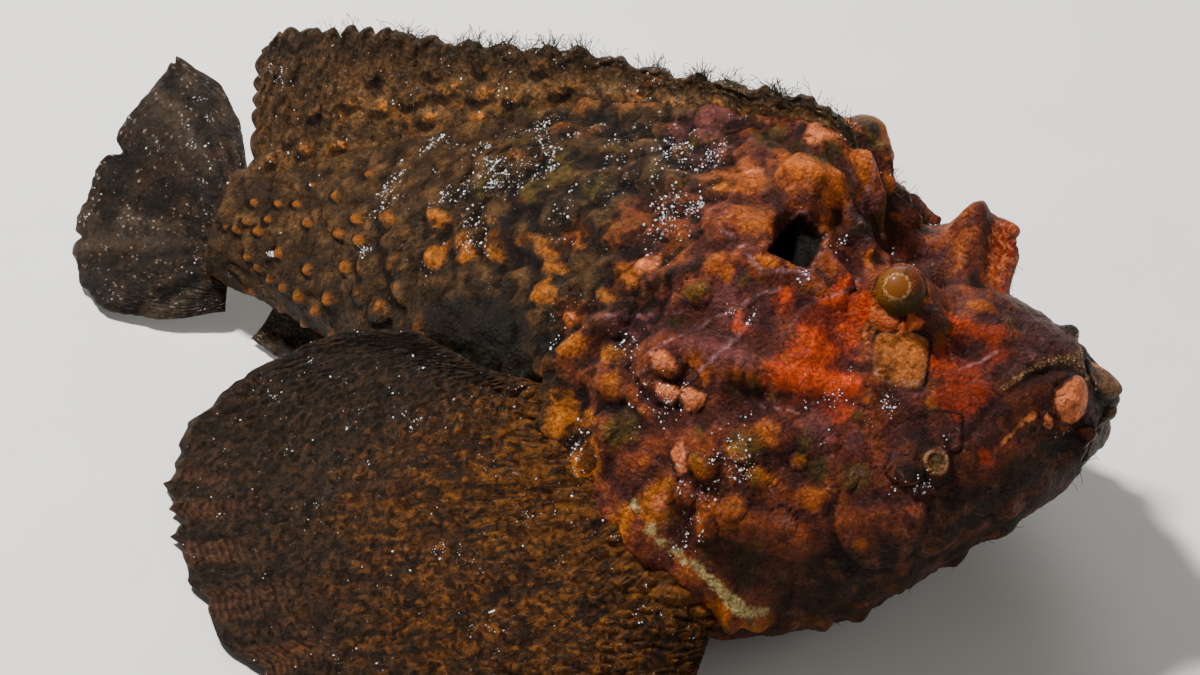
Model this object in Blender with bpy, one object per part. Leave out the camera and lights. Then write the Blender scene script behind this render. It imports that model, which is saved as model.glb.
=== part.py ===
"""Reef stonefish resting on the ground: a still, life-size model.

The animal is first worked out upright and straight in its own frame, in millimetres: s runs
back from the tip of the snout, y to its left and z up. pose() then leans it over to its left
side, the tail further than the head, and turns it to face +X. The body is one loft, made
coarser and parted with thin cuts. The fins are plates whose rays stand up as ridges.
"""

import math

import bmesh
import bpy
import numpy as np
from mathutils import Matrix, Vector

MM = 0.001
GAP = 0.3

# Driving dimensions, millimetres and degrees
BODY_LENGTH = 243.0
SNOUT_START = -5.0
SNOUT_ROUND = 18.0
NOSE_X = 125.0
LEAN_HEAD = 18.0
LEAN_TAIL = 28.0
LEAN_PIVOT = 10.0
LEAN_FADE = 40.0
BODY_TRIANGLES = 5800

# Body sections: s, half width, top of ridge, height of widest point, belly, roundness above, below
STATIONS = (
    (-5, 12, 64, 54, 48, 1.6, 2.2),
    (3, 25, 71, 50, 38, 1.5, 2.3),
    (14, 38, 77, 44, 27, 1.5, 2.4),
    (30, 50, 80, 38, 13, 1.6, 2.6),
    (48, 57, 80, 34, 4, 1.9, 2.8),
    (64, 62, 92, 31, 0, 1.8, 3.0),
    (80, 63, 105, 30, -1, 1.7, 3.0),
    (100, 59, 102, 30, -1, 1.7, 2.9),
    (125, 50, 95, 31, -1, 1.7, 2.7),
    (150, 40, 87, 32, 1, 1.7, 2.5),
    (175, 29, 75, 32, 6, 1.8, 2.3),
    (200, 19, 61, 30, 10, 1.9, 2.1),
    (225, 12, 46, 28, 12, 2.0, 2.0),
    (245, 8, 38, 25, 12, 2.0, 2.0),
)

# Eyes stand on knobs on top of the head
EYE_CENTRE = (44.2, 24.2, 84.3)
EYE_RADIUS = 6.0
# Knobs: a point on the axis, its direction, radius and height on the left side and on the right;
# the first carries the eye and the others are lobes round it
KNOBS = (
    ((45.0, 22.5, 83.5), (-0.25, 0.70, 0.67), 15.0, 11.0, 11.0),
    ((38.0, 20.0, 76.0), (-0.35, 0.45, 0.82), 9.0, 8.0, 2.5),
    ((49.0, 22.0, 84.0), (0.05, 0.25, 0.97), 8.0, 6.5, 3.0),
    ((45.0, 11.5, 79.0), (0.05, 0.20, 0.98), 8.5, 8.5, 2.5),
)
GAZE = (-0.38, 0.83, 0.41)
LID_RADIUS = 5.8
LID_THICK = 1.3
LID_AHEAD = 0.8

# Swellings and pits of the head, each side: s, degrees down from the ridge, radius, height
HEAD_FORMS = (
    (71, 29, 8.5, -6.5),
    (75, 19, 11.5, 5.0),
    (36.5, 37, 8.0, 2.2),
    (27, 27, 8.5, -2.5),
    (31, 54, 9.0, -2.0),
    (58, 46, 11.0, 3.0),
    (66, 63, 8.0, -2.5),
    (89, 65, 9.0, 3.5),
    (101, 73, 7.5, 3.0),
    (72, 77, 7.5, 3.5),
    (79, 91, 8.5, 3.2),
    (97, 84, 6.5, 2.5),
    (48, 72, 9.0, -2.2),
    (21.5, 66, 4.5, 2.8),
    (25.5, 73, 4.5, 2.4),
    (13, 24, 4.0, 1.6),
    (20, 40, 3.2, 1.8),
    (4, 22, 5.0, 2.4),
    (88, 36, 8.0, 2.6),
    (92, 50, 7.5, 2.4),
    (84, 52, 7.0, -2.0),
)
MIDLINE_FORMS = (
    (48, 0, 11.0, -6.0),
    (59, 0, 8.0, -4.0),
    (30, 0, 8.0, 1.5),
    (79, -14, 10.0, 3.0),
)
# Raised bony lines under the skin: half breadth, height, then s and degrees of each point
HEAD_RIDGES = (
    (4.5, 2.2, ((42, 46), (56, 52), (72, 58), (88, 60))),
    (4.0, 2.0, ((58, 30), (78, 40), (98, 52))),
    (4.5, 2.0, ((44, 92), (60, 88), (76, 84))),
    (5.0, 2.4, ((104, 60), (116, 74), (113, 86), (98, 91), (82, 94), (66, 99), (54, 108))),
)
NAPE_FOLDS = (-26, -13, 0, 13, 26)
NAPE_FOLD_S = (59, 72)
NAPE_FOLD = (3.6, 3.4)
CHEEK_FLAP = (28.5, 85, 11.0, 3.6)
THROAT_PADS = ((57, 109), (51, 114), (45, 120), (39, 127), (33, 135))
THROAT_PAD = (4.6, 2.2)
CHIN_PADS = ((6, 118), (9, 150), (16, 112), (24, 128), (20, 165), (33, 112))
CHIN_PAD = (5.0, 1.8)

# Lips follow the gape: distance from it, breadth and height
LIP_OFFSET = 3.2
LIP_BREADTH = 2.2
LIP_HEIGHT = 1.7
GAPE_DEPTH = 1.4

# Rows of warts along the flanks: degrees down from the ridge, first and last s
WART_ROWS = ((26, 96, 236), (42, 104, 238), (57, 112, 240), (72, 126, 240), (88, 150, 240),
             (106, 176, 240))
WART_STEP = 10.5
WART_RADIUS = 4.6
WART_HEIGHT = 1.9

# Cuts in the side view (s, z): the gape and the line behind the jaw, then the gill line
JAW_CUT = ((-30, 78), (0, 78), (3.5, 74), (8, 72), (13, 69.3), (16, 65), (17, 58), (17, 48),
           (22, 40), (31, 29), (42, 17), (50, 6), (52, -30))
GAPE = JAW_CUT[2:8]
GILL_CUT = ((62, 150), (62, 100), (76, 97), (92, 80), (108, 62), (118, 46), (117, 38), (108, 31),
            (92, 25), (74, 20), (60, 13), (57, 4), (56, -30))
TAIL_CUT = ((150, 150), (150, -30))
CUT_STEP = 9.0
CUT_MARGIN = 8.0
CUT_STRIPS = 4
CUT_REACH = 60.0

# Dorsal fin: (s, height over the ridge); spines first, soft rays after the joint between them
DORSAL_HEIGHT = ((63, 3), (70, 9), (80, 8), (100, 9), (125, 12), (150, 17), (175, 23), (200, 31),
                 (220, 38), (232, 40), (241, 33))
DORSAL_START = 63.0
DORSAL_JOINT = 192.0
DORSAL_END = 241.0
DORSAL_SPINES = 13
DORSAL_SOFT_RAYS = 7
DORSAL_ROOT_THICK = 6.5
DORSAL_TIP_THICK = 2.2
DORSAL_SINK = 4.0
DORSAL_SWEEP = 3.0
DORSAL_TAIL_SWEEP = 6.0

# Tail fin, in the world: its root on the end of the body and the round of its tips
CAUDAL_RAYS = 12
CAUDAL_ROOT = ((-117.5, 13.0, 35.0), (-117.5, -0.5, 12.0))
CAUDAL_TIPS = ((-131, 39, 43), (-148, 44, 46), (-159, 43, 43), (-163, 35, 36), (-167, 24, 28),
               (-169, 14, 18), (-169, 6, 10), (-165, -4, 4), (-157, -12, 2), (-144, -18, 2),
               (-128, -15, 3), (-112, -6, 6))
CAUDAL_THICK = (6.0, 1.6)

# Pectoral fins: root line on the flank (s, degrees), then the tips in the world
PECTORAL_RAYS = 18
PECTORAL_ROOT = ((117, 80), (111, 86), (98, 90), (84, 94), (71, 98), (61, 105))
PECTORAL_R_TIPS = ((-40, -27, 46), (-65, -22, 31), (-81, -27, 19), (-93, -35, 9), (-97, -47, 4),
                   (-92, -64, 2.2), (-80, -78, 2.2), (-62, -95, 2.2), (-35, -111, 2.2),
                   (-5, -120, 2.2), (21, -121, 2.2), (43, -114, 2.2), (58, -101, 2.2), (66, -82, 3))
PECTORAL_L_TIPS = ((-44, 60, 14), (-64, 66, 8), (-80, 74, 4), (-88, 86, 2.2), (-84, 99, 2.2),
                   (-70, 108, 2.2), (-48, 114, 2.2), (-22, 116, 2.2), (4, 113, 2.2),
                   (26, 107, 2.2), (44, 98, 2.2), (56, 88, 2.2), (62, 78, 3))
PECTORAL_THICK = (7.0, 1.8)
PECTORAL_SINK = 4.0

# Anal fin: three spines and six rays under the tail, tips just clear of the ground
ANAL_RAYS = 9
ANAL_SPAN = (166.0, 223.0)
ANAL_DEPTH = (11.0, 17.0)
ANAL_THICK = (4.0, 1.6)
FLOOR_CLEAR = 0.9

# Pelvic fins: spread from under the belly
PELVIC_RAYS = 6
PELVIC_ROOT_S = (84.0, 104.0)
PELVIC_ROOT_Y = 36.0
PELVIC_ROOT_Z = 7.0
PELVIC_TIPS = ((-4, 62, 3), (4, 68, 2), (14, 71, 2), (25, 71, 2), (35, 68, 2), (43, 62, 3))
PELVIC_THICK = (4.0, 1.6)

RIDGE_RISE = 0.45
SCALLOP = 2.6

SKIN_COLOURS = {
    "head": (0.33, 0.075, 0.03),
    "lower_jaw": (0.20, 0.06, 0.03),
    "trunk": (0.19, 0.075, 0.03),
    "tail": (0.15, 0.07, 0.03),
    "dorsal_fin_spiny": (0.085, 0.045, 0.025),
    "dorsal_fin_soft": (0.06, 0.035, 0.022),
    "caudal_fin": (0.05, 0.03, 0.022),
    "anal_fin": (0.05, 0.04, 0.03),
    "pectoral_fin_R": (0.13, 0.065, 0.025),
    "pectoral_fin_L": (0.13, 0.065, 0.025),
    "pelvic_fin_R": (0.12, 0.06, 0.03),
    "pelvic_fin_L": (0.12, 0.06, 0.03),
    "eye_R": (0.32, 0.14, 0.03),
    "eye_L": (0.32, 0.14, 0.03),
}


# ---------------------------------------------------------------- curves and the body's form

def smooth_line(xs, ys, x):
    """Curve through the points (xs, ys) that never swings past them, read at x."""
    xs = np.asarray(xs, float)
    ys = np.asarray(ys, float)
    step = np.diff(xs)
    slope = np.diff(ys) / step
    left, right = slope[:-1], slope[1:]
    same = left * right > 0
    total = np.where(same, left + right, 1.0)
    inner = np.where(same, 2 * left * right / total, 0.0)
    tangent = np.concatenate([slope[:1], inner, slope[-1:]])
    i = np.clip(np.searchsorted(xs, x) - 1, 0, len(xs) - 2)
    t = np.clip((x - xs[i]) / step[i], 0, 1)
    return (ys[i] * (1 + 2 * t) * (1 - t) ** 2 + ys[i + 1] * t * t * (3 - 2 * t)
            + step[i] * (tangent[i] * t * (1 - t) ** 2 - tangent[i + 1] * t * t * (1 - t)))


def smooth_path(points, t):
    """Point at each t from 0 to 1 along a smooth path through the given points."""
    points = np.asarray(points, float)
    knots = np.linspace(0, 1, len(points))
    return np.stack([smooth_line(knots, points[:, k], t) for k in range(points.shape[1])], -1)


def section(s, phi):
    """Point of the plain body at s, phi radians down from the ridge (positive: right side)."""
    table = np.array(STATIONS, float)
    width, ridge, middle, belly, above, below = (
        smooth_line(table[:, 0], table[:, k], s) for k in range(1, 7))
    across, up = np.sin(phi), np.cos(phi)
    power = 2.0 / np.where(up >= 0, above, below)
    y = -width * np.sign(across) * np.abs(across) ** power
    reach = np.where(up >= 0, ridge - middle, middle - belly)
    z = middle + reach * np.sign(up) * np.abs(up) ** power
    return np.stack([s + 0 * y, y, z], -1)


def skin_point(s, degrees):
    """Point of the plain body and its outward direction, at s and degrees from the ridge."""
    s = np.asarray(s, float)
    phi = np.radians(degrees)
    small = 0.02
    here = section(s, phi)
    along = section(s + 0.5, phi) - section(s - 0.5, phi)
    round_ = section(s, phi + small) - section(s, phi - small)
    out = np.cross(round_, along)
    return here, out / np.linalg.norm(out, axis=-1, keepdims=True)


def mound(distance, radius):
    """Soft swelling: 1 in the middle, 0 from the radius on."""
    return np.clip(1 - (distance / radius) ** 2, 0, 1) ** 2


def distance_to_line(points, line):
    """Distance of each point from a chain of straight stretches."""
    best = np.full(points.shape[:-1], 1e9)
    for a, b in zip(line[:-1], line[1:]):
        run = b - a
        t = np.clip(((points - a) @ run) / (run @ run), 0, 1)
        best = np.minimum(best, np.linalg.norm(points - a - t[..., None] * run, axis=-1))
    return best


def wart_places():
    """Places and sizes of the flank warts, smaller towards the tail."""
    rng = np.random.default_rng(7)
    for row, (degrees, first, last) in enumerate(WART_ROWS):
        s = first + (row % 2) * WART_STEP / 2
        while s < last:
            size = 1.25 - 0.6 * (s - 96) / 150 + rng.uniform(-0.12, 0.12)
            for side in (-1, 1):
                jitter = rng.uniform(-1.5, 1.5, 2)
                yield s + jitter[0], side * (degrees + jitter[1]), size
            s += WART_STEP * (0.6 + 0.4 * size)


def raised(points, out):
    """The plain body's points with all swellings, pits, ridges, lips and warts added."""
    lift = np.zeros(points.shape[:-1])

    def add(s, degrees, radius, height):
        centre = skin_point(s, degrees)[0]
        lift[...] += height * mound(np.linalg.norm(points - centre, axis=-1), radius)

    for side in (-1, 1):
        for s, degrees, radius, height in HEAD_FORMS:
            add(s, side * degrees, radius, height)
        for s, degrees in THROAT_PADS:
            add(s, side * degrees, *THROAT_PAD)
        for s, degrees in CHIN_PADS:
            add(s, side * degrees, *CHIN_PAD)
        for breadth, height, line in HEAD_RIDGES:
            chain = np.array([skin_point(s, side * d)[0] for s, d in line])
            lift += height * mound(distance_to_line(points, chain), breadth)
        s, degrees, radius, height = CHEEK_FLAP
        away = np.linalg.norm(points - skin_point(s, side * degrees)[0], axis=-1)
        lift += height * np.clip((radius - away) / 2.5, 0, 1) * (0.45 + 0.55 * away / radius)
    for form in MIDLINE_FORMS:
        add(*form)
    for degrees in NAPE_FOLDS:
        fold = np.array([skin_point(s, degrees)[0] for s in NAPE_FOLD_S])
        lift += NAPE_FOLD[1] * mound(distance_to_line(points, fold), NAPE_FOLD[0])
    for s, degrees, size in wart_places():
        add(s, degrees, WART_RADIUS * size, WART_HEIGHT * size)

    gape = np.array(GAPE, float)
    away = distance_to_line(points[..., [0, 2]], gape)
    near = np.clip((34 - points[..., 0]) / 8, 0, 1)
    lift += near * LIP_HEIGHT * np.exp(-((away - LIP_OFFSET) / LIP_BREADTH) ** 2)
    lift -= near * GAPE_DEPTH * np.exp(-(away / 1.3) ** 2)

    moved = points + out * lift[..., None]
    for side in (-1, 1):
        flip = np.array([1, side, 1])
        for centre, axis, radius, *rises in KNOBS:
            axis = np.array(axis) * flip
            offset = points - np.array(centre) * flip
            height = offset @ axis
            off_axis = np.linalg.norm(offset - height[..., None] * axis, axis=-1)
            lifted = rises[side < 0] * mound(off_axis, radius) * (height > -30)
            moved = moved + lifted[..., None] * axis
    return moved


def pose(points):
    """The upright animal's frame to the world: leaning left, flesh near the ground not turned."""
    points = np.asarray(points, float)
    s, y, z = points[..., 0], points[..., 1], points[..., 2]
    middle = (LEAN_HEAD + LEAN_TAIL) / 2
    lean = np.radians(np.interp(s, [60, 140, 245], [LEAN_HEAD, middle, LEAN_TAIL]))
    turned = np.clip(z / LEAN_FADE, 0, 1)
    turned = turned * turned * (3 - 2 * turned)
    up = z - LEAN_PIVOT
    leaning_y = y * np.cos(lean) + up * np.sin(lean)
    leaning_z = up * np.cos(lean) - y * np.sin(lean) + LEAN_PIVOT
    return np.stack([NOSE_X - s, y + (leaning_y - y) * turned, z + (leaning_z - z) * turned], -1)


# ---------------------------------------------------------------- meshes, cuts and joins

def new_object(name, verts, faces, collection):
    """Mesh object from points in millimetres, with its faces turned outwards."""
    mesh = bpy.data.meshes.new(name)
    mesh.from_pydata((np.asarray(verts) * MM).tolist(), [], faces)
    bm = bmesh.new()
    bm.from_mesh(mesh)
    bmesh.ops.recalc_face_normals(bm, faces=bm.faces)
    bm.to_mesh(mesh)
    bm.free()
    obj = bpy.data.objects.new(name, mesh)
    collection.objects.link(obj)
    return obj


def settle(obj):
    """Apply the object's modifiers."""
    graph = bpy.context.evaluated_depsgraph_get()
    mesh = bpy.data.meshes.new_from_object(obj.evaluated_get(graph))
    old = obj.data
    obj.modifiers.clear()
    obj.data = mesh
    bpy.data.meshes.remove(old)


def combine(obj, other, operation, solver="EXACT"):
    """Boolean of obj with other, applied."""
    cut = obj.modifiers.new(operation, "BOOLEAN")
    cut.operation = operation
    cut.solver = solver
    cut.object = other
    settle(obj)


def copy_of(obj, name, collection):
    """Own copy of an object and its mesh."""
    twin = bpy.data.objects.new(name, obj.data.copy())
    collection.objects.link(twin)
    return twin


def keep_largest(obj):
    """Triangulate and leave only the largest closed surface."""
    bm = bmesh.new()
    bm.from_mesh(obj.data)
    bmesh.ops.triangulate(bm, faces=bm.faces, ngon_method="EAR_CLIP")
    left = set(bm.verts)
    shells = []
    while left:
        start = left.pop()
        shell, edge = {start}, [start]
        while edge:
            for link in edge.pop().link_edges:
                for vert in link.verts:
                    if vert in left:
                        left.discard(vert)
                        shell.add(vert)
                        edge.append(vert)
        shells.append(shell)
    shells.sort(key=len, reverse=True)
    scraps = [vert for shell in shells[1:] for vert in shell]
    bmesh.ops.delete(bm, geom=scraps, context="VERTS")
    bm.to_mesh(obj.data)
    bm.free()


def grid_normals(grid):
    """Unit normals of a grid of points."""
    normal = np.cross(np.gradient(grid, axis=0), np.gradient(grid, axis=1))
    return normal / np.maximum(np.linalg.norm(normal, axis=-1, keepdims=True), 1e-9)


def plate(name, middle, thick, collection):
    """Closed plate round a grid of points, split into triangles alike on both faces."""
    rows, cols = thick.shape
    half = grid_normals(middle) * thick[..., None] / 2
    verts = np.concatenate([(middle + half).reshape(-1, 3), (middle - half).reshape(-1, 3)])
    count = rows * cols
    faces = []
    for i in range(rows - 1):
        for j in range(cols - 1):
            a, b = i * cols + j, (i + 1) * cols + j
            for lift, turn in ((0, 1), (count, -1)):
                faces.append([a + lift, b + lift, b + 1 + lift][::turn])
                faces.append([a + lift, b + 1 + lift, a + 1 + lift][::turn])
    rim = [i * cols for i in range(rows)] + [(rows - 1) * cols + j for j in range(1, cols)]
    rim += [i * cols + cols - 1 for i in range(rows - 2, -1, -1)] + list(range(cols - 2, 0, -1))
    for a, b in zip(rim, rim[1:] + rim[:1]):
        faces += [[a, a + count, b + count], [a, b + count, b]]
    return new_object(name, verts, faces, collection)


def stepped(line):
    """A cut's line in the side view, divided into short stretches."""
    line = np.array(line, float)
    steps = []
    for a, b in zip(line[:-1], line[1:]):
        count = max(1, round(np.linalg.norm(b - a) / CUT_STEP))
        steps += [tuple(a + (b - a) * k / count) for k in range(count)]
    return steps + [tuple(line[-1])]


def prism(name, outline, collection):
    """Solid from side to side with an outline in (s, z), posed and shrunk by half the gap.

    Two prisms that share a stretch of outline are split alike there, so their walls face
    each other at one gap. The outermost points of each wall lie straight out in the world.
    """
    count = len(outline)
    table = np.array(STATIONS, float)
    breadth = smooth_line(table[:, 0], table[:, 1], np.array(outline)[:, 0]) + CUT_MARGIN
    sides = [-1] + list(np.linspace(-1, 1, CUT_STRIPS + 1)) + [1]
    verts = []
    for row, side in enumerate(sides):
        wall = pose([(s, side * wide, z) for (s, z), wide in zip(outline, breadth)])
        if row in (0, len(sides) - 1):
            wall[:, 1] += side * CUT_REACH
        verts += list(wall)
    faces = [list(range(count)), [(len(sides) - 1) * count + k for k in reversed(range(count))]]
    rank = [z - 0.37 * s for s, z in outline]
    for strip in range(len(sides) - 1):
        for k in range(count):
            low, high = sorted((k, (k + 1) % count), key=lambda index: rank[index])
            a, b = strip * count + low, strip * count + high
            faces += [[a, a + count, b + count], [a, b + count, b]]
    block = new_object(name, verts, faces, collection)
    swell(block, -GAP / 2)
    return block


def swell(obj, distance):
    """Move every point of a mesh out along its normal."""
    bm = bmesh.new()
    bm.from_mesh(obj.data)
    bm.normal_update()
    places = [vert.co + vert.normal * distance * MM for vert in bm.verts]
    for vert, place in zip(bm.verts, places):
        vert.co = place
    bm.to_mesh(obj.data)
    bm.free()


# ---------------------------------------------------------------- the body and its nodes

def make_body(collection):
    """The whole skin as one fine loft, then made coarser, less so on the head."""
    rows, cols = 300, 216
    s = np.linspace(SNOUT_START, BODY_LENGTH, rows)
    phi = np.linspace(0, 2 * math.pi, cols, endpoint=False)
    ss, pp = np.meshgrid(s, phi, indexing="ij")
    base, out = skin_point(ss, np.degrees(pp))
    grid = raised(base, out)
    centre = grid[0].mean(axis=0)
    rounding = []
    for turn in np.linspace(math.pi / 3, math.pi / 2, 7)[1:-1]:
        ring = centre + (grid[0] - centre) * math.cos(turn) * 2
        ring[:, 0] = grid[0][:, 0] - SNOUT_ROUND * (math.sin(turn) - math.sin(math.pi / 3))
        rounding.insert(0, ring)
    grid = np.concatenate([np.array(rounding), grid])
    rows = len(grid)
    verts = grid.reshape(-1, 3)
    faces = []
    for i in range(rows - 1):
        for j in range(cols):
            k = (j + 1) % cols
            faces.append([i * cols + j, i * cols + k, (i + 1) * cols + k, (i + 1) * cols + j])
    faces.append(list(range(cols)))
    faces.append([(rows - 1) * cols + j for j in range(cols)])
    body = new_object("body", pose(verts), faces, collection)

    coarse = body.modifiers.new("coarse", "DECIMATE")
    coarse.ratio = BODY_TRIANGLES / (2 * rows * cols)
    coarse.use_collapse_triangulate = True
    settle(body)
    return body


def eye_place(side):
    """Centre and gaze of an eye in the world; side is -1 on the right, 1 on the left."""
    flip = np.array([1, side, 1])
    centre = np.array(EYE_CENTRE) * flip
    ahead = pose(centre + np.array(GAZE) * flip) - pose(centre)
    return pose(centre), ahead / np.linalg.norm(ahead)


def ball(name, centre, radius, collection):
    """Round solid."""
    mesh = bpy.data.meshes.new(name)
    bm = bmesh.new()
    bmesh.ops.create_uvsphere(bm, u_segments=16, v_segments=10, radius=radius * MM)
    bmesh.ops.translate(bm, verts=bm.verts, vec=Vector(centre) * MM)
    bm.to_mesh(mesh)
    bm.free()
    obj = bpy.data.objects.new(name, mesh)
    collection.objects.link(obj)
    return obj


def lid_ring(name, centre, gaze, collection):
    """Ring of skin round an eye."""
    turn = Vector(gaze).to_track_quat("Z", "Y").to_matrix().to_4x4()
    place = Matrix.Translation((Vector(centre) + Vector(gaze) * LID_AHEAD) * MM) @ turn
    around, across = 20, 8
    verts = []
    for i in range(around):
        big = 2 * math.pi * i / around
        for j in range(across):
            small = 2 * math.pi * j / across
            reach = LID_RADIUS + LID_THICK * math.cos(small)
            spot = Vector((reach * math.cos(big), reach * math.sin(big), LID_THICK * math.sin(small)))
            verts.append(tuple(place @ (spot * MM) / MM))
    faces = []
    for i in range(around):
        for j in range(across):
            k, m = (i + 1) % around, (j + 1) % across
            faces.append([i * across + j, k * across + j, k * across + m, i * across + m])
    return new_object(name, verts, faces, collection)


def make_eyes(body, parts, cutters):
    """Set both eyes into sockets of the body, with a lid round each."""
    for side, name in ((-1, "eye_R"), (1, "eye_L")):
        centre, gaze = eye_place(side)
        combine(body, lid_ring(name + "_lid", centre, gaze, cutters), "UNION")
        combine(body, ball(name + "_socket", centre, EYE_RADIUS + GAP, cutters), "DIFFERENCE")
        ball(name, centre, EYE_RADIUS, parts)


def part_body(body, parts, cutters):
    """Part the body into head, lower jaw, trunk and tail with thin cuts."""
    jaw, gill, tail = stepped(JAW_CUT), stepped(GILL_CUT), stepped(TAIL_CUT)
    past_end = BODY_LENGTH + 20
    outlines = {
        "lower_jaw": jaw + [(-30, -30)],
        "head": jaw + gill[::-1] + [(-30, 150)],
        "trunk": gill + tail[::-1],
        "tail": tail + [(past_end, -30), (past_end, 150)],
    }
    for name, outline in outlines.items():
        node = copy_of(body, name, parts)
        combine(node, prism(name + "_block", outline, cutters), "INTERSECT", "MANIFOLD")
        keep_largest(node)


# ---------------------------------------------------------------- fins

def ray_columns(rays):
    """Places of the rays and of the hollows between them, and 1 on a ray, 0 in a hollow."""
    across = np.linspace(0, 1, 2 * rays - 1)
    return across, (np.arange(2 * rays - 1) % 2 == 0).astype(float)


def fan(name, root, first, second, tips, rays, rows, thick, collection):
    """Fin whose rays run from the root to the tips, each an arched path over two points."""
    across, on_ray = ray_columns(rays)
    t = np.linspace(0, 1, rows)[:, None, None]
    reach = t - (SCALLOP / 60.0) * (1 - on_ray)[None, :, None] * t ** 3
    middle = (root * (1 - reach) ** 3 + first * 3 * reach * (1 - reach) ** 2
              + second * 3 * reach ** 2 * (1 - reach) + tips * reach ** 3)
    depth = np.linspace(0, 1, rows)[:, None]
    membrane = thick[0] + (thick[1] - thick[0]) * np.minimum(1, depth * 1.6)
    grid_thick = membrane * (1 - RIDGE_RISE * (1 - on_ray)[None, :] * np.minimum(1, depth * 3))
    return plate(name, middle, grid_thick, collection)


def cut_clear(fin, swollen):
    """Cut a fin clear of the body it grows from and keep the fin alone."""
    combine(fin, swollen, "DIFFERENCE")
    keep_largest(fin)


def make_dorsal(name, start, end, rays, parts):
    """A stretch of the dorsal fin: a row of spines or rays along the ridge."""
    across, on_ray = ray_columns(rays)
    s = start + (end - start) * across
    ridge = section(s, 0 * s)[:, 2]
    heights = np.array(DORSAL_HEIGHT, float)
    height = smooth_line(heights[:, 0], heights[:, 1], s)
    height = height - np.minimum(3.2, 0.25 * height) * (1 - on_ray)
    rows = 7
    t = np.linspace(0, 1, rows)[:, None]
    z = ridge - DORSAL_SINK + (height + DORSAL_SINK) * t
    behind = np.clip((s - DORSAL_JOINT) / (DORSAL_END - DORSAL_JOINT), 0, 1)
    sweep = (DORSAL_SWEEP + DORSAL_TAIL_SWEEP * behind ** 2) * t ** 1.5
    wave = 1.3 * np.sin(s / 9.0) * t
    middle = pose(np.stack([s + sweep, wave, z], -1))
    flat = DORSAL_ROOT_THICK + (DORSAL_TIP_THICK - DORSAL_ROOT_THICK) * t ** 0.7
    thick = flat * (1 - 0.4 * (1 - on_ray)[None, :] * np.minimum(1, t * 2))
    return plate(name, middle, thick, parts)


def make_caudal(parts):
    """Tail fin, twisted over until its lower edge lies on the ground."""
    across = ray_columns(CAUDAL_RAYS)[0]
    tips = smooth_path(CAUDAL_TIPS, across)
    root = smooth_path(CAUDAL_ROOT, across)
    root = root + np.array([-GAP, 0, 0])
    run = tips - root
    first = root + run * 0.3
    second = root + run * 0.7 + np.array([0, 0, 2.0])
    return fan("caudal_fin", root, first, second, tips, CAUDAL_RAYS, 8, CAUDAL_THICK, parts)


def make_pectoral(name, side, tips, parts):
    """Pectoral fin from its long root on the flank, over and down to the ground."""
    across = ray_columns(PECTORAL_RAYS)[0]
    line = smooth_path(PECTORAL_ROOT, across)
    skin, out = skin_point(line[:, 0], -side * line[:, 1])
    root = pose(skin - out * PECTORAL_SINK)
    outwards = pose(skin + out) - pose(skin)
    outwards /= np.linalg.norm(outwards, axis=1, keepdims=True)
    tips = smooth_path(tips, across)
    level = (tips - root) * np.array([1, 1, 0])
    first = root + outwards * (16 - 11 * across[:, None] ** 3) + level * 0.16
    first[:, 2] = root[:, 2] + 4 - 22 * across ** 2
    second = tips - level * 0.36
    second[:, 2] = tips[:, 2] + 0.22 * (root[:, 2] - tips[:, 2])
    return fan(name, root, first, second, tips, PECTORAL_RAYS, 11, PECTORAL_THICK, parts)


def make_anal(parts):
    """Anal fin, folded over where the tail lies low."""
    across, on_ray = ray_columns(ANAL_RAYS)
    s = ANAL_SPAN[0] + (ANAL_SPAN[1] - ANAL_SPAN[0]) * across
    root = pose(section(s, 0 * s + math.pi)) + np.array([0, 0, 3.0])
    depth = ANAL_DEPTH[0] + (ANAL_DEPTH[1] - ANAL_DEPTH[0]) * np.sin(across * math.pi * 0.75)
    tip_z = FLOOR_CLEAR + ANAL_THICK[1] / 2 + 0.4
    drop = root[:, 2] - tip_z
    aside = np.sqrt(np.maximum(depth ** 2 - drop ** 2, 4.0))
    tips = root + np.stack([-2.0 - 3.0 * across, -aside, -drop], -1)
    first = root + (tips - root) * np.array([0.3, 0.1, 0.45])
    second = root + (tips - root) * np.array([0.65, 0.5, 0.9])
    return fan("anal_fin", root, first, second, tips, ANAL_RAYS, 5, ANAL_THICK, parts)


def make_pelvic(name, side, parts):
    """Pelvic fin spread on the ground beside the belly."""
    across = ray_columns(PELVIC_RAYS)[0]
    s = PELVIC_ROOT_S[1] + (PELVIC_ROOT_S[0] - PELVIC_ROOT_S[1]) * across
    spots = np.stack([s, side * PELVIC_ROOT_Y + 0 * s, PELVIC_ROOT_Z + 0 * s], -1)
    root = pose(spots)
    tips = smooth_path(PELVIC_TIPS, across) * np.array([1, side, 1])
    run = tips - root
    first = root + run * np.array([0.35, 0.4, 0.2])
    second = root + run * np.array([0.7, 0.7, 0.85])
    return fan(name, root, first, second, tips, PELVIC_RAYS, 6, PELVIC_THICK, parts)


def swollen_copy(body, collection):
    """The body with its skin moved out by the gap, to cut the fins clear of it."""
    swollen = copy_of(body, "swollen_body", collection)
    swell(swollen, GAP * 1.15)
    return swollen


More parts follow.
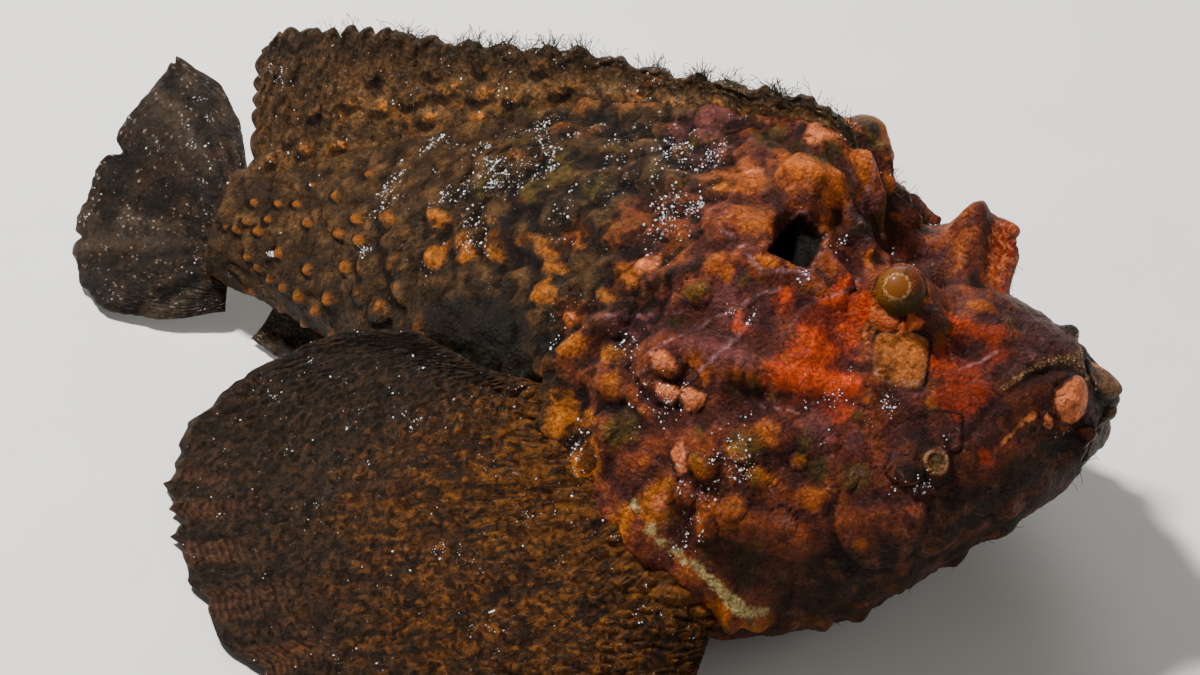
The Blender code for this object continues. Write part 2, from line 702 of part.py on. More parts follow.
def make_fins(swollen, parts):
    """All fins, each cut clear of the body."""
    make_dorsal("dorsal_fin_spiny", DORSAL_START, DORSAL_JOINT, DORSAL_SPINES, parts)
    make_dorsal("dorsal_fin_soft", DORSAL_JOINT + GAP, DORSAL_END, DORSAL_SOFT_RAYS, parts)
    make_caudal(parts)
    make_anal(parts)
    make_pectoral("pectoral_fin_R", -1, PECTORAL_R_TIPS, parts)
    make_pectoral("pectoral_fin_L", 1, PECTORAL_L_TIPS, parts)
    make_pelvic("pelvic_fin_R", -1, parts)
    make_pelvic("pelvic_fin_L", 1, parts)
    for obj in parts.objects:
        if "_fin" in obj.name:
            cut_clear(obj, swollen)


# ---------------------------------------------------------------- finish and assembly

def skin_material(name, colour):
    """Wet skin of one part of the animal."""
    material = bpy.data.materials.new(name + "_skin")
    material.use_nodes = True
    shader = material.node_tree.nodes["Principled BSDF"]
    shader.inputs["Base Color"].default_value = (*colour, 1)
    shader.inputs["Roughness"].default_value = 0.18 if name.startswith("eye") else 0.38
    shader.inputs["Metallic"].default_value = 0.0
    return material


def finish(parts):
    """Give each part its material and put the origin under the middle of the whole."""
    corners = np.array([vert.co for obj in parts.objects for vert in obj.data.vertices])
    middle = (corners.min(axis=0) + corners.max(axis=0)) / 2
    move = Matrix.Translation((-middle[0], -middle[1], 0))
    for obj in parts.objects:
        obj.data.transform(move)
        obj.data.materials.clear()
        obj.data.materials.append(skin_material(obj.name, SKIN_COLOURS[obj.name]))
        obj.data.shade_smooth()
        obj.data.set_sharp_from_angle(angle=math.radians(40))


def main():
    for obj in list(bpy.data.objects):
        bpy.data.objects.remove(obj)
    parts = bpy.data.collections.new("stonefish")
    cutters = bpy.data.collections.new("cutters")
    for collection in (parts, cutters):
        bpy.context.scene.collection.children.link(collection)

    body = make_body(cutters)
    ground_verts = [(x, y, z) for x in (-220, 180) for y in (-150, 150) for z in (-40, 0)]
    ground_faces = [(0, 1, 3, 2), (4, 6, 7, 5), (0, 4, 5, 1), (2, 3, 7, 6), (0, 2, 6, 4), (1, 5, 7, 3)]
    ground = new_object("ground", ground_verts, ground_faces, cutters)
    swollen = swollen_copy(body, cutters)
    make_eyes(body, parts, cutters)
    combine(body, ground, "DIFFERENCE")
    part_body(body, parts, cutters)
    make_fins(swollen, parts)
    finish(parts)
    for obj in cutters.objects:
        obj.hide_render = True
        obj.hide_set(True)
        obj.display_type = "WIRE"


main()
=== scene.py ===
"""Reef stonefish, still and life-size: the looks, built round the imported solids.

The forms are worked out in the animal's own frame, in millimetres: s runs back from the tip of the
snout, y to its left and z up. pose() leans the animal over to its left and turns it into the frame
of the solids. One skin stands for the head, jaw, trunk and tail, and each fin is one thick plate.
Colours are laid on by masks that are kept as attributes of the meshes.
"""

import functools
import itertools
import math

import bmesh
import bpy
import numpy as np
from bpy.props import FloatProperty, FloatVectorProperty, IntProperty, PointerProperty
from mathutils import Matrix, Vector


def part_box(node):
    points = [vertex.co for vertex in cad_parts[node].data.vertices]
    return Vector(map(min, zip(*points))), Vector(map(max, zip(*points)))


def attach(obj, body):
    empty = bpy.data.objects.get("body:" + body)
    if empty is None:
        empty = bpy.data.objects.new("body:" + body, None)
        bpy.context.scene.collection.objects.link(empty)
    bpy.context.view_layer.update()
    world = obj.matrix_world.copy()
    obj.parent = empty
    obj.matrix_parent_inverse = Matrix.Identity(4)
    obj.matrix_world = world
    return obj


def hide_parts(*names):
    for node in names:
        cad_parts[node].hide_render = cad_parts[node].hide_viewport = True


bl_info = {
    "name": "Reef stonefish",
    "version": (1, 0, 0),
    "blender": (4, 5, 0),
    "location": "View3D > Sidebar > Stonefish",
    "description": "Skin, fins, eyes and growth of a life-size reef stonefish",
    "category": "Object",
}

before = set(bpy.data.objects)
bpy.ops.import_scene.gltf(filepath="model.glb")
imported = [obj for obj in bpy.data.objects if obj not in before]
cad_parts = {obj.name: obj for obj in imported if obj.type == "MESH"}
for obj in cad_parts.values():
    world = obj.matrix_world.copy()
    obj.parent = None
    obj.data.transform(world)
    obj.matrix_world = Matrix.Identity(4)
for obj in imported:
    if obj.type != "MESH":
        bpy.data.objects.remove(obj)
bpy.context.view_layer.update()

MM = 0.001

# ---------------------------------------------------------------- sizes of the animal, millimetres

BODY_LENGTH = 243.0
SNOUT_START = -5.0
SNOUT_ROUND = 18.0
NOSE_X = 125.0
LEAN_HEAD = 18.0
LEAN_TAIL = 28.0
LEAN_S = (60, 140, 245)
LEAN_PIVOT = 10.0
LEAN_FADE = 40.0
SKIN_CLEAR = 0.02
SNOUT_RINGS = 8

# Body sections: s, half width, top of ridge, height of widest point, belly, roundness above, below
STATIONS = (
    (-5, 12, 64, 54, 48, 1.6, 2.2),
    (3, 25, 71, 50, 38, 1.5, 2.3),
    (14, 38, 77, 44, 27, 1.5, 2.4),
    (30, 50, 80, 38, 13, 1.6, 2.6),
    (48, 57, 80, 34, 4, 1.9, 2.8),
    (64, 62, 92, 31, 0, 1.8, 3.0),
    (80, 63, 105, 30, -1, 1.7, 3.0),
    (100, 59, 102, 30, -1, 1.7, 2.9),
    (125, 50, 95, 31, -1, 1.7, 2.7),
    (150, 40, 87, 32, 1, 1.7, 2.5),
    (175, 29, 75, 32, 6, 1.8, 2.3),
    (200, 19, 61, 30, 10, 1.9, 2.1),
    (225, 12, 46, 28, 12, 2.0, 2.0),
    (245, 8, 38, 25, 12, 2.0, 2.0),
)

EYE_CENTRE = (44.2, 24.2, 84.3)
EYE_RADIUS = 6.0
EYE_OPENING = 68.0
EYE_GRID = (40, 72)
GAZE = (-0.38, 0.83, 0.41)
IRIS_GAZE = (-0.11, 0.85, 0.52)
LID_RADIUS = 5.9
LID_THICK = 0.9
LID_AHEAD = 0.6
LID_DROP = (1.3, 1.6)
LID_GRID = (120, 18)
# Knobs: a point on the axis, its direction, radius and height on the left side and on the right;
# the first carries the eye and the others are lobes round it
KNOBS = (
    ((45.0, 22.5, 83.5), (-0.25, 0.70, 0.67), 15.0, 11.0, 11.0),
    ((38.0, 20.0, 76.0), (-0.35, 0.45, 0.82), 9.0, 8.0, 2.5),
    ((49.0, 22.0, 84.0), (0.05, 0.25, 0.97), 8.0, 6.5, 3.0),
    ((45.0, 11.5, 79.0), (0.05, 0.20, 0.98), 8.5, 8.5, 2.5),
)

# Swellings and pits of the head, each side: s, degrees down from the ridge, radius, height
HEAD_FORMS = (
    (71, 29, 8.5, -6.5),
    (75, 19, 11.5, 5.0),
    (36.5, 37, 8.0, 2.2),
    (27, 27, 8.5, -2.5),
    (31, 54, 9.0, -2.0),
    (58, 46, 11.0, 3.0),
    (66, 63, 8.0, -2.5),
    (89, 65, 9.0, 3.5),
    (101, 73, 7.5, 3.0),
    (72, 77, 7.5, 3.5),
    (79, 91, 8.5, 3.2),
    (97, 84, 6.5, 2.5),
    (48, 72, 9.0, -2.2),
    (21.5, 66, 4.5, 2.8),
    (13, 24, 4.0, 1.6),
    (20, 40, 3.2, 1.8),
    (4, 22, 5.0, 2.4),
    (88, 36, 8.0, 2.6),
    (92, 50, 7.5, 1.4),
    (84, 55, 7.0, -2.0),
    (-4, 72, 13.0, -3.6),
    (78, 20, 6.0, 1.2),
    (88, 26, 6.5, 1.4),
)
MIDLINE_FORMS = (
    (48, 0, 11.0, -6.0),
    (59, 0, 8.0, -4.0),
    (30, 0, 8.0, 1.5),
    (79, -14, 10.0, 3.0),
    (-3, -10, 13.0, -4.0),
)
HEAD_RIDGES = (
    (4.5, 2.2, ((42, 46), (56, 52), (72, 58), (88, 60))),
    (4.0, 2.0, ((58, 30), (78, 40), (98, 52))),
    (4.5, 2.0, ((44, 92), (60, 88), (76, 84))),
    (5.0, 2.4, ((104, 60), (116, 74), (113, 86), (98, 91), (82, 94), (66, 99), (54, 108))),
)
# Small knobs with a steep edge, each side: s, degrees, half sizes back and down, height
KNOBBLES = (
    (86, 50, 3.4, 3.2, 1.9), (65.4, 56, 3.3, 3.0, 1.7), (86.5, 64, 4.2, 3.2, 1.7),
    (84, 69, 3.4, 2.8, 1.2), (78.4, 68, 3.7, 3.0, 1.4), (64, 15, 3.4, 3.4, 0.9),
    (2.0, 31, 4.8, 5.2, 2.3), (5.1, 45, 1.6, 1.4, 0.9), (-5, 50, 2.8, 2.0, 1.8),
    (27, 68, 4.2, 3.8, 2.0), (62, 72, 3.0, 2.6, 1.1), (57, 76, 2.6, 2.4, 0.9),
    (50, 70, 2.4, 2.2, 1.0), (44, 64, 2.2, 2.0, 0.9), (69, 78, 3.6, 3.0, 1.3),
    (66, 90, 3.8, 3.0, 1.1), (49, 88, 3.2, 2.6, 0.8), (101, 49, 3.6, 3.0, 1.2),
    (92, 72, 3.0, 2.6, 1.0), (72, 84, 2.8, 2.4, 1.0), (96, 80, 3.4, 2.8, 1.2),
    (38, 74, 2.6, 2.2, 0.9), (32, 66, 2.0, 1.8, 0.8), (110, 52, 4.0, 3.2, 1.3),
    (104, 62, 4.2, 3.2, 1.3), (80, 10, 3.6, 3.2, 1.0), (90, 8, 3.4, 3.0, 1.0),
    (98, 20, 4.0, 3.4, 1.2), (106, 30, 4.4, 3.6, 1.2), (60, 84, 3.0, 2.6, 0.9),
)
KNOBBLE_RIM = 1.08
NAPE_FOLDS = (-26, -13, 0, 13, 26)
NAPE_FOLD_S = (59, 72)
NAPE_FOLD = (3.6, 3.4)
CHEEK_FLAP = (28.5, 85, 11.0, 3.6)
THROAT_PADS = ((57, 109), (51, 114), (45, 120), (39, 127), (33, 135))
THROAT_PAD = (4.6, 2.2)
CHIN_PADS = ((6, 118), (9, 150), (16, 112), (24, 128), (20, 165), (33, 112))
CHIN_PAD = (5.0, 1.8)

GAPE = ((3, 70), (6, 71.6), (9, 72), (11.5, 71), (13.5, 69), (15.3, 66.5), (16.6, 63), (17.4, 59))
# Soft pushes of the snout and the far eye's knob: place before the shift, radius, move
PUSHES = (
    ((76, 44, 80), 8, (0, 0, 2.6)),
    ((82, 47, 83), 4, (0, 0, -0.8)),
    ((86, 49, 75), 6.5, (4.0, 2.3, 0)),
    ((93, 44, 61), 10, (-4.2, -2.5, 0)),
    ((106, 40, 61), 13, (-0.8, 0, -3.6)),
    ((123.6, 28, 65), 9, (-3.4, -1.8, -1.6)),
    ((126.0, 27.5, 54.5), 11, (3.4, 2.0, -0.6)),
    ((130, 16, 47), 16, (-4.4, -2.0, 0)),
)
LIP_OFFSET = 3.2
LIP_BREADTH = 2.2
LIP_HEIGHT = 0.6
GAPE_DEPTH = 0.6
GAPE_BREADTH = 0.7
# The lower lid: two lobes under the eye, as distance from the gaze, half breadth and half width
LID_LOBES = (8.2, 1.6, 6.2)

# Warts of each flank: s, degrees down from the ridge, radius; small cones, then broad lumps
WARTS = (
    (238, 77, 1.7), (234, 77, 2.0), (232, 50, 2.1), (232, 68, 2.0), (228, 96, 2.1), (227, 75, 2.3),
    (225, 66, 2.1), (224, 52, 2.2), (224, 102, 2.0), (219, 106, 2.1), (218, 52, 2.3),
    (218, 86, 2.5), (214, 108, 2.2), (212, 66, 2.4), (208, 107, 2.6), (207, 89, 2.5),
    (206, 48, 2.4), (201, 109, 2.4), (200, 69, 2.8), (198, 99, 2.8), (196, 60, 2.8),
    (194, 82, 3.0), (192, 70, 3.0), (226, 128, 2.1), (216, 132, 2.2), (206, 128, 2.4),
    (195, 122, 2.6), (186, 114, 2.8), (184, 134, 2.6), (216, 34, 2.0), (200, 32, 2.2),
)
BROAD_WARTS = (
    (185, 59, 4.0), (181, 68, 4.2), (187, 79, 3.6), (176, 74, 4.4), (186, 88, 3.4), (172, 81, 4.6),
    (178, 90, 4.0), (164, 66, 5.0), (156, 60, 5.2), (147, 56, 5.4), (139, 53, 5.4), (131, 53, 5.6),
    (160, 88, 5.0), (152, 49, 4.8), (134, 46, 5.2), (159, 42, 5.0), (144, 41, 5.2), (141, 32, 5.0),
    (127, 35, 5.4), (113, 29, 5.2), (169, 54, 4.4), (130, 41, 4.6), (115, 44, 5.6),
    (168, 100, 4.2), (150, 108, 4.6), (180, 104, 3.4), (104, 30, 4.8), (104, 52, 5.0),
)
WART_RISE = 0.36
BROAD_WART_RISE = 0.32

# Lumps of the skin: size across, height, and s where they swell up and where they fade away; then
# how they are stretched, and the size across of the shaded spots between them
STONES = (7.6, 1.3, 92.0, 190.0)
STONE_STRETCH = (0.80, 1.05)
STONE_SHADE = 3.2
SMALL_STONES = (4.0, 0.6)
FACE_STONES = (4.4, 0.55)
OVERHANG = 0.8
# Wrinkles: size across and depth
WRINKLES = ((6.5, 0.75), (3.2, 0.35))

# Distances kept as attributes, each with its value far from its place, and the other masks that
# gather up one form after the other
FAR_AWAY = {"pit": -3.0, "plate": 2.0, "small_plate": 2.0, "gape": 40.0}
GATHERED = (*FAR_AWAY, "ring", "border", "line", "edge", "gilt", "fold")

# Spacing of the skin's rows: (s up to which it holds, spacing), and its columns round the body
ROW_SPACING = ((30.0, 0.42), (125.0, 0.62), (BODY_LENGTH, 0.72))
BACK_DEGREES = 112.0
BACK_COLUMNS = 192
BELLY_COLUMNS = 50

# Fins: rows and columns of each grid, the dorsal fin's columns in its spiny and its soft part
FIN_CLEAR = 0.1
DORSAL_GRID = (84, 301, 130)
CAUDAL_GRID = (110, 177)
PECTORAL_GRID = (180, 239)
ANAL_GRID = (50, 121)
PELVIC_GRID = (50, 89)

DORSAL_HEIGHT = ((63, 3), (70, 9), (80, 8), (100, 9), (125, 12), (150, 17), (175, 23), (200, 31),
                 (220, 38), (232, 40), (241, 33))
DORSAL_START = 63.0
DORSAL_JOINT = 192.0
DORSAL_END = 241.0
DORSAL_SPINES = 13
DORSAL_SOFT_RAYS = 7
DORSAL_THICK = (6.5, 2.2)
DORSAL_SINK = 4.0
DORSAL_SWEEP = 3.0
DORSAL_TAIL_SWEEP = 6.0
DORSAL_NOTCH = 218.0
# Scales on the dorsal fin: s, share of the height, half length
DORSAL_SCALES = (
    (222, 0.50, 5.0), (213, 0.53, 6.0), (204, 0.46, 5.0), (196, 0.51, 6.0), (186, 0.58, 6.4),
    (176, 0.51, 6.0), (165, 0.47, 6.8), (153, 0.54, 6.0), (143, 0.45, 6.2), (132, 0.52, 5.6),
    (121, 0.46, 6.0), (110, 0.52, 5.0), (229, 0.34, 3.6), (224, 0.26, 3.4), (213, 0.25, 4.0),
    (233, 0.22, 3.4), (176, 0.28, 4.4), (160, 0.78, 4.2), (192, 0.74, 4.4), (146, 0.26, 4.2),
    (208, 0.70, 4.2), (178, 0.80, 4.0), (130, 0.78, 4.0), (162, 0.30, 3.6), (190, 0.34, 4.6),
)

CAUDAL_RAYS = 12
CAUDAL_ROOT = ((-117.5, 13.0, 35.0), (-117.5, -0.5, 12.0))
CAUDAL_TIPS = ((-131, 32, 36), (-145, 41, 41), (-159, 43, 43), (-163, 35, 36), (-167, 24, 28),
               (-169, 14, 18), (-169, 6, 10), (-165, -4, 4), (-157, -12, 2), (-144, -18, 2),
               (-128, -15, 3), (-112, -6, 6))
CAUDAL_THICK = (6.0, 1.6)

PECTORAL_RAYS = 18
PECTORAL_ROOT = ((117, 80), (111, 86), (98, 90), (84, 94), (71, 98), (61, 105))
PECTORAL_R_TIPS = ((-40, -27, 46), (-65, -22, 31), (-81, -27, 19), (-93, -35, 9), (-97, -47, 4),
                   (-92, -64, 2.2), (-80, -78, 2.2), (-62, -95, 2.2), (-35, -111, 2.2),
                   (-5, -120, 2.2), (21, -121, 2.2), (43, -114, 2.2), (58, -101, 2.2),
                   (66, -82, 3))
PECTORAL_L_TIPS = ((-44, 60, 14), (-64, 66, 8), (-80, 74, 4), (-88, 86, 2.2), (-84, 99, 2.2),
                   (-70, 108, 2.2), (-48, 114, 2.2), (-22, 116, 2.2), (4, 113, 2.2),
                   (26, 107, 2.2), (44, 98, 2.2), (56, 88, 2.2), (62, 78, 3))
PECTORAL_THICK = (7.0, 1.8)
PECTORAL_SINK = 4.0

ANAL_RAYS = 9
ANAL_SPAN = (166.0, 223.0)
ANAL_DEPTH = (11.0, 17.0)
ANAL_THICK = (4.0, 1.6)
FLOOR_CLEAR = 0.9

PELVIC_RAYS = 6
PELVIC_ROOT_S = (84.0, 104.0)
PELVIC_ROOT_Y = 36.0
PELVIC_ROOT_Z = 7.0
PELVIC_TIPS = ((-4, 62, 3), (4, 68, 2), (14, 71, 2), (25, 71, 2), (35, 68, 2), (43, 62, 3))
PELVIC_THICK = (4.0, 1.6)

# Relief of each kind of fin: lump size and height, ray height, depth of the scallops
PECTORAL_RELIEF = (3.2, 1.3, 0.2, 0.9)
CAUDAL_RELIEF = (2.6, 0.5, 0.45, 1.6)
SMALL_FIN_RELIEF = (2.6, 0.5, 0.35, 1.4)
ROOT_LOBES = (7.0, 2.4, 0.34)
# Notches in a fin's edge, or spikes where the depth is below 0: place, breadth, depth, as shares
PECTORAL_NOTCHES = (
    (0.40, 0.004, -0.012), (0.44, 0.004, -0.016), (0.48, 0.004, -0.016), (0.42, 0.012, 0.014),
    (0.46, 0.012, 0.014), (0.55, 0.010, 0.015), (0.62, 0.008, 0.02), (0.35, 0.010, 0.010),
)
CAUDAL_NOTCHES = ((0.40, 0.012, 0.10), (0.60, 0.008, 0.04), (0.20, 0.010, 0.04))

# Colour patches on each side: s, degrees down from the ridge, radius
PATCHES = {
    "red": ((57.3, 38, 7), (56, 47, 8), (55.5, 52, 8), (50.5, 50, 8), (51, 37, 5), (56, 33, 6),
            (58.6, 52, 7), (48, 53, 5.5), (53, 28, 5), (57, 28, 5), (30.6, 22, 6), (26, 20, 5.5),
            (30.6, 33, 6), (24.5, 37, 6), (21.6, 29, 5), (23.7, 46, 6), (20.3, 43, 5),
            (13.6, 63, 3), (72, 50, 4), (66, 40, 4)),
    "orange": ((92, 27, 8), (86, 24, 7), (82.8, 20, 7), (82.8, 33, 6), (78, 20, 7), (74, 16, 6),
               (70, 17, 5.5), (66.5, 20, 5), (85.3, 44, 5), (74, 39, 4), (60, 66, 5), (66, 92, 6),
               (45, 78, 5), (60, 84, 6), (116, 64, 7), (105, 52, 5), (97, 44, 6), (125, 48, 6),
               (81, 62, 5), (56, 28, 4), (18, 80, 3), (70, 4, 4.5), (68, -8, 4.5), (66, 9, 3.5),
               (73, -2, 4), (50, -14, 5), (46, -6, 4)),
    "coral": ((86.5, 64, 3.4), (84, 69, 3), (78.4, 68, 3.4), (101.4, 49, 3), (2.2, 32, 6.2),
              (79.7, 6, 4.5), (84, 0, 4.5), (75, 78, 3.8), (-5, 50, 3.2), (5.1, 45, 1.6),
              (90, 24, 2.5), (116, 64, 3.2), (77, 87, 3)),
    "tan": ((46, 30, 3.5),),
    "gold": ((77, 87, 7), (94, 28, 3.5), (111, 20, 4), (98, 88, 6), (108, 82, 6), (84, 92, 6),
             (60, 105, 5), (50, 114, 6), (40, 126, 6), (33, 133, 5), (85.9, 50, 3), (62, 72, 4),
             (57, 76, 4), (50, 70, 3.5), (69, 78, 4)),
    "rust": ((36, 80, 9), (50, 88, 12), (64, 84, 10), (72, 70, 9), (44, 95, 10), (40, 108, 10),
             (56, 100, 9), (84, 80, 8), (96, 74, 9), (108, 70, 9), (96, 37, 9), (110, 42, 9),
             (9.8, 34, 5), (12, 41, 5), (12, 76, 8), (8, 66, 6), (4, 62, 6)),
    "olive": ((61, 69, 5), (22, 65, 2.4), (85.9, 50, 3.6), (90, 57, 3), (83, 12, 4),
              (76.6, 6, 2.6), (77, -14, 4), (75, -11, 4), (64, 58, 3), (127, 36, 6), (141, 33, 6),
              (159, 42, 5), (144, 41, 5), (36, 74, 5), (55, 96, 5), (110, 18, 5), (60, 0, 5),
              (64, 92, 3), (90, -12, 6), (92, 78, 5), (50, 66, 3), (46, 72, 4)),
    "black": ((26, 69, 3.5), (138, 79, 18), (126, 84, 13), (152, 86, 14), (27, 68, 5), (84, -6, 3),
              (63, -12, 6), (90.2, 46, 3.5), (93, 49, 3), (62.3, 37, 2.4), (6.8, 50.5, 1.8),
              (79, -2, 2.6), (119, 74, 7), (76, -13, 2.5), (81, 70, 2), (3, 84, 4), (-2, 66, 4),
              (19, 72, 2.5)),
    "lilac": ((113, 14, 7), (106, 9, 8), (91, 14, 5), (86.5, 8, 4), (104, 21, 6), (64, -4, 4),
              (66, 12, 3), (61, 24, 5), (72, 56, 6), (77, 58, 7), (84, 60, 5), (70, 47, 4.5),
              (95, 60, 6), (79, 51, 6), (33, 45, 5), (18, 52, 4), (38, 62, 5), (22, 55, 4.5),
              (12, 32, 4), (48, 62, 6), (17, 33, 4), (100, 62, 6), (66, 33, 4), (35, 23, 4),
              (14, 18, 7), (18, 8, 6), (9, 10, 6)),
    "knob": ((44, -27, 8), (38, -22, 6)),
    "tip": ((0, -38, 7), (-5, -55, 6), (-5, -28, 5)),
    "weedy": ((12, -22, 5), (4, -24, 4), (20, -20, 4), (30, -6, 4), (38, -10, 4), (24, -8, 3.5),
              (62, -16, 5), (56, -20, 4)),
    # Where the pale grains gather: sand, and painted glints of the wet skin
    "dust_and_glint": ((41, 48, 6), (46, 56, 6), (52, 62, 7), (57, 71, 6), (65, 77, 6), (128, 28, 14),
             (112, 22, 11), (150, 30, 15), (168, 32, 13), (186, 36, 10), (100, 38, 9), (86, 48, 5),
             (66, 30, 5), (96, 68, 7), (72, 84, 6), (102, 82, 5), (84, 68, 5), (156, 52, 9),
             (25, 74, 4)),
}
ONE_SIDED = ("tip", "weedy", "knob")
# Lines along the skin: breadth, then s and degrees of each point; on both sides, then once only
LINES = {
    "line": (
        (1.1, ((90, 64), (84, 57), (75, 49), (72, 44), (69, 40))),
        (1.1, ((80, 65), (74.7, 58), (72, 52), (71, 47))),
        (0.9, ((106, 62), (97.7, 58), (87, 54))),
        (1.2, ((64, 47), (61.7, 36), (56.5, 25), (56.5, 13))),
        (1.3, ((86.5, 38), (78.4, 40), (74, 41), (67.3, 34), (60.4, 29))),
        (0.9, ((39.3, 20), (35, 23), (32, 27), (26, 36), (21, 26))),
        (0.8, ((95, 70), (88, 66), (82, 62))),
        (0.8, ((66, 62), (60, 60), (52, 58))),
    ),
    "edge": ((0.8, ((84, 90), (74, 92), (66, 95), (59, 100), (54, 105), (49, 110))),),
    "gilt": ((1.0, ((7.2, 45.5), (8.6, 48))), (0.6, ((8.6, 48), (9.8, 53), (11, 58))),
             (0.8, ((48.5, 19), (50, 26), (49.5, 31), (47, 34))),
             (0.5, ((66.5, 21), (64.5, 26), (64.8, 30)))),
}
MIDLINE_LINES = (
    (1.0, ((75.3, 7), (71.6, 12), (68.5, 11), (66.6, 15))),
    (1.0, ((72.8, 5), (69, 6), (65.4, 12), (61, 14))),
    (1.0, ((72.2, -1), (66.6, 4), (60.4, 13))),
    (1.0, ((71.6, -15), (67.3, -15), (61, -1), (58, 2))),
)
LINE_RISE = 0.22
# Places set flat on the skin of each side: s, degrees, half size
PLATE = (38.6, 37, 6.2)
PORES = ((37.5, 34.5), (41, 42))
PIT = ((73.2, 25.5), (66.6, 22), (65.8, 30), (75.2, 37.5))
RING_KNOB = (22, 65, 2.6)
SMALL_PLATE = (22.8, 55, 4.2)
# Tufts of weed: s, degrees and radius, on one side each
TUFTS = ((21, 12, 4), (19, 18, 3), (63, -12, 7), (68, -22, 5), (36, -30, 6), (80, -6, 5))

# Way the weed on the dorsal fin leans
DORSAL_WEED_WAY = (-0.15, 0.25, 0.9)

# Sand and painted glints: how wide their clusters spread, grains in a cluster, and the grid's
# steps in millimetres
SAND_AND_GLINT_SPREAD = 1.0
CLUSTER_GRAINS = 12
CLUSTER_STEPS = (0.65, 0.8)
FINS_WITH_GRAINS = ("dorsal_fin_skin", "caudal_fin_skin", "pectoral_fin_R_skin",
                    "pectoral_fin_L_skin")

SEED = 11

# The camera: where it stands round the animal, and what it looks at before the shift
CAMERA_AZIMUTH = 30.0
CAMERA_ELEVATION = 40.0
CAMERA_TARGET = (0.0, 0.0, 40.0)
CAMERA_DISTANCE = 0.9
CAMERA_LENS = 108.0
FLOOR_HALF = 4000.0
FLOOR_TONE = (0.72, 0.70, 0.66)
WORLD_TONE = (1.0, 0.97, 0.93)
WORLD_STRENGTH = 0.18
# Lamps: metres to the camera's right, up and back from the target, then power and size
LAMPS = (
    ("key_light", -0.40, 0.85, 0.45, 26.0, 0.13),
    ("fill_light", 0.9, 0.1, 0.6, 3.0, 0.9),
    ("back_light", 0.1, 0.9, -0.5, 5.0, 0.5),
)


# ---------------------------------------------------------------- curves and the body's form

def smooth_line(xs, ys, x):
    """Curve through the points (xs, ys) that never swings past them, read at x."""
    xs = np.asarray(xs, float)
    ys = np.asarray(ys, float)
    step = np.diff(xs)
    slope = np.diff(ys) / step
    left, right = slope[:-1], slope[1:]
    same = left * right > 0
    total = np.where(same, left + right, 1.0)
    inner = np.where(same, 2 * left * right / total, 0.0)
    tangent = np.concatenate([slope[:1], inner, slope[-1:]])
    i = np.clip(np.searchsorted(xs, x) - 1, 0, len(xs) - 2)
    t = np.clip((x - xs[i]) / step[i], 0, 1)
    return (ys[i] * (1 + 2 * t) * (1 - t) ** 2 + ys[i + 1] * t * t * (3 - 2 * t)
            + step[i] * (tangent[i] * t * (1 - t) ** 2 - tangent[i + 1] * t * t * (1 - t)))


def smooth_path(points, t):
    """Point at each t from 0 to 1 along a smooth path through the given points."""
    points = np.asarray(points, float)
    knots = np.linspace(0, 1, len(points))
    return np.stack([smooth_line(knots, points[:, k], t) for k in range(points.shape[1])], -1)


def ease(x, low, high):
    """0 below low, 1 above high, smooth between."""
    t = np.clip((x - low) / (high - low), 0, 1)
    return t * t * (3 - 2 * t)


def section(s, phi):
    """Point of the plain body at s, phi radians down from the ridge (positive: right side)."""
    table = np.array(STATIONS, float)
    width, ridge, middle, belly, above, below = (
        smooth_line(table[:, 0], table[:, k], s) for k in range(1, 7))
    across, up = np.sin(phi), np.cos(phi)
    power = 2.0 / np.where(up >= 0, above, below)
    y = -width * np.sign(across) * np.abs(across) ** power
    reach = np.where(up >= 0, ridge - middle, middle - belly)
    z = middle + reach * np.sign(up) * np.abs(up) ** power
    return np.stack([s + 0 * y, y, z], -1)


def skin_point(s, degrees):
    """Point of the plain body and its outward direction, at s and degrees from the ridge."""
    s = np.asarray(s, float)
    phi = np.radians(degrees)
    small = 0.02
    here = section(s, phi)
    along = section(s + 0.5, phi) - section(s - 0.5, phi)
    round_ = section(s, phi + small) - section(s, phi - small)
    out = np.cross(round_, along)
    return here, out / np.linalg.norm(out, axis=-1, keepdims=True)


def mound(distance, radius):
    """Soft swelling: 1 in the middle, 0 from the radius on."""
    return np.clip(1 - (distance / radius) ** 2, 0, 1) ** 2


def dome(distance):
    """Fuller swelling: 1 in the middle, 0 from 1 on."""
    return np.clip(1 - distance ** 2, 0, 1) ** 0.8


def bell(x, width):
    """1 at 0, falling off smoothly over about the width on both sides."""
    return np.exp(-(x / width) ** 2)


def distance_to_line(points, line):
    """Distance of each point from a chain of straight stretches."""
    best = np.full(points.shape[:-1], 1e9)
    for a, b in zip(line[:-1], line[1:]):
        run = b - a
        t = np.clip(((points - a) @ run) / (run @ run), 0, 1)
        best = np.minimum(best, np.linalg.norm(points - a - t[..., None] * run, axis=-1))
    return best


def upright_to_frame(points):
    """The upright animal's frame, leant over to its left and turned to face +X."""
    points = np.asarray(points, float)
    s, y, z = points[..., 0], points[..., 1], points[..., 2]
    middle = (LEAN_HEAD + LEAN_TAIL) / 2
    lean = np.radians(np.interp(s, LEAN_S, (LEAN_HEAD, middle, LEAN_TAIL)))
    turned = ease(z, 0, LEAN_FADE)
    up = z - LEAN_PIVOT
    leaning_y = y * np.cos(lean) + up * np.sin(lean)
    leaning_z = up * np.cos(lean) - y * np.sin(lean) + LEAN_PIVOT
    return np.stack([NOSE_X - s, y + (leaning_y - y) * turned, z + (leaning_z - z) * turned], -1)


def eye_box_centre():
    """Middle of the right eye's solid, millimetres."""
    low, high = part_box("eye_R")
    return np.array((low + high) / 2) / MM


SHIFT = eye_box_centre() - upright_to_frame(np.array(EYE_CENTRE) * (1, -1, 1))


def pose(points):
    """The upright animal's frame to the frame of the solids."""
    return upright_to_frame(points) + SHIFT


# ---------------------------------------------------------------- noise, the same on each run

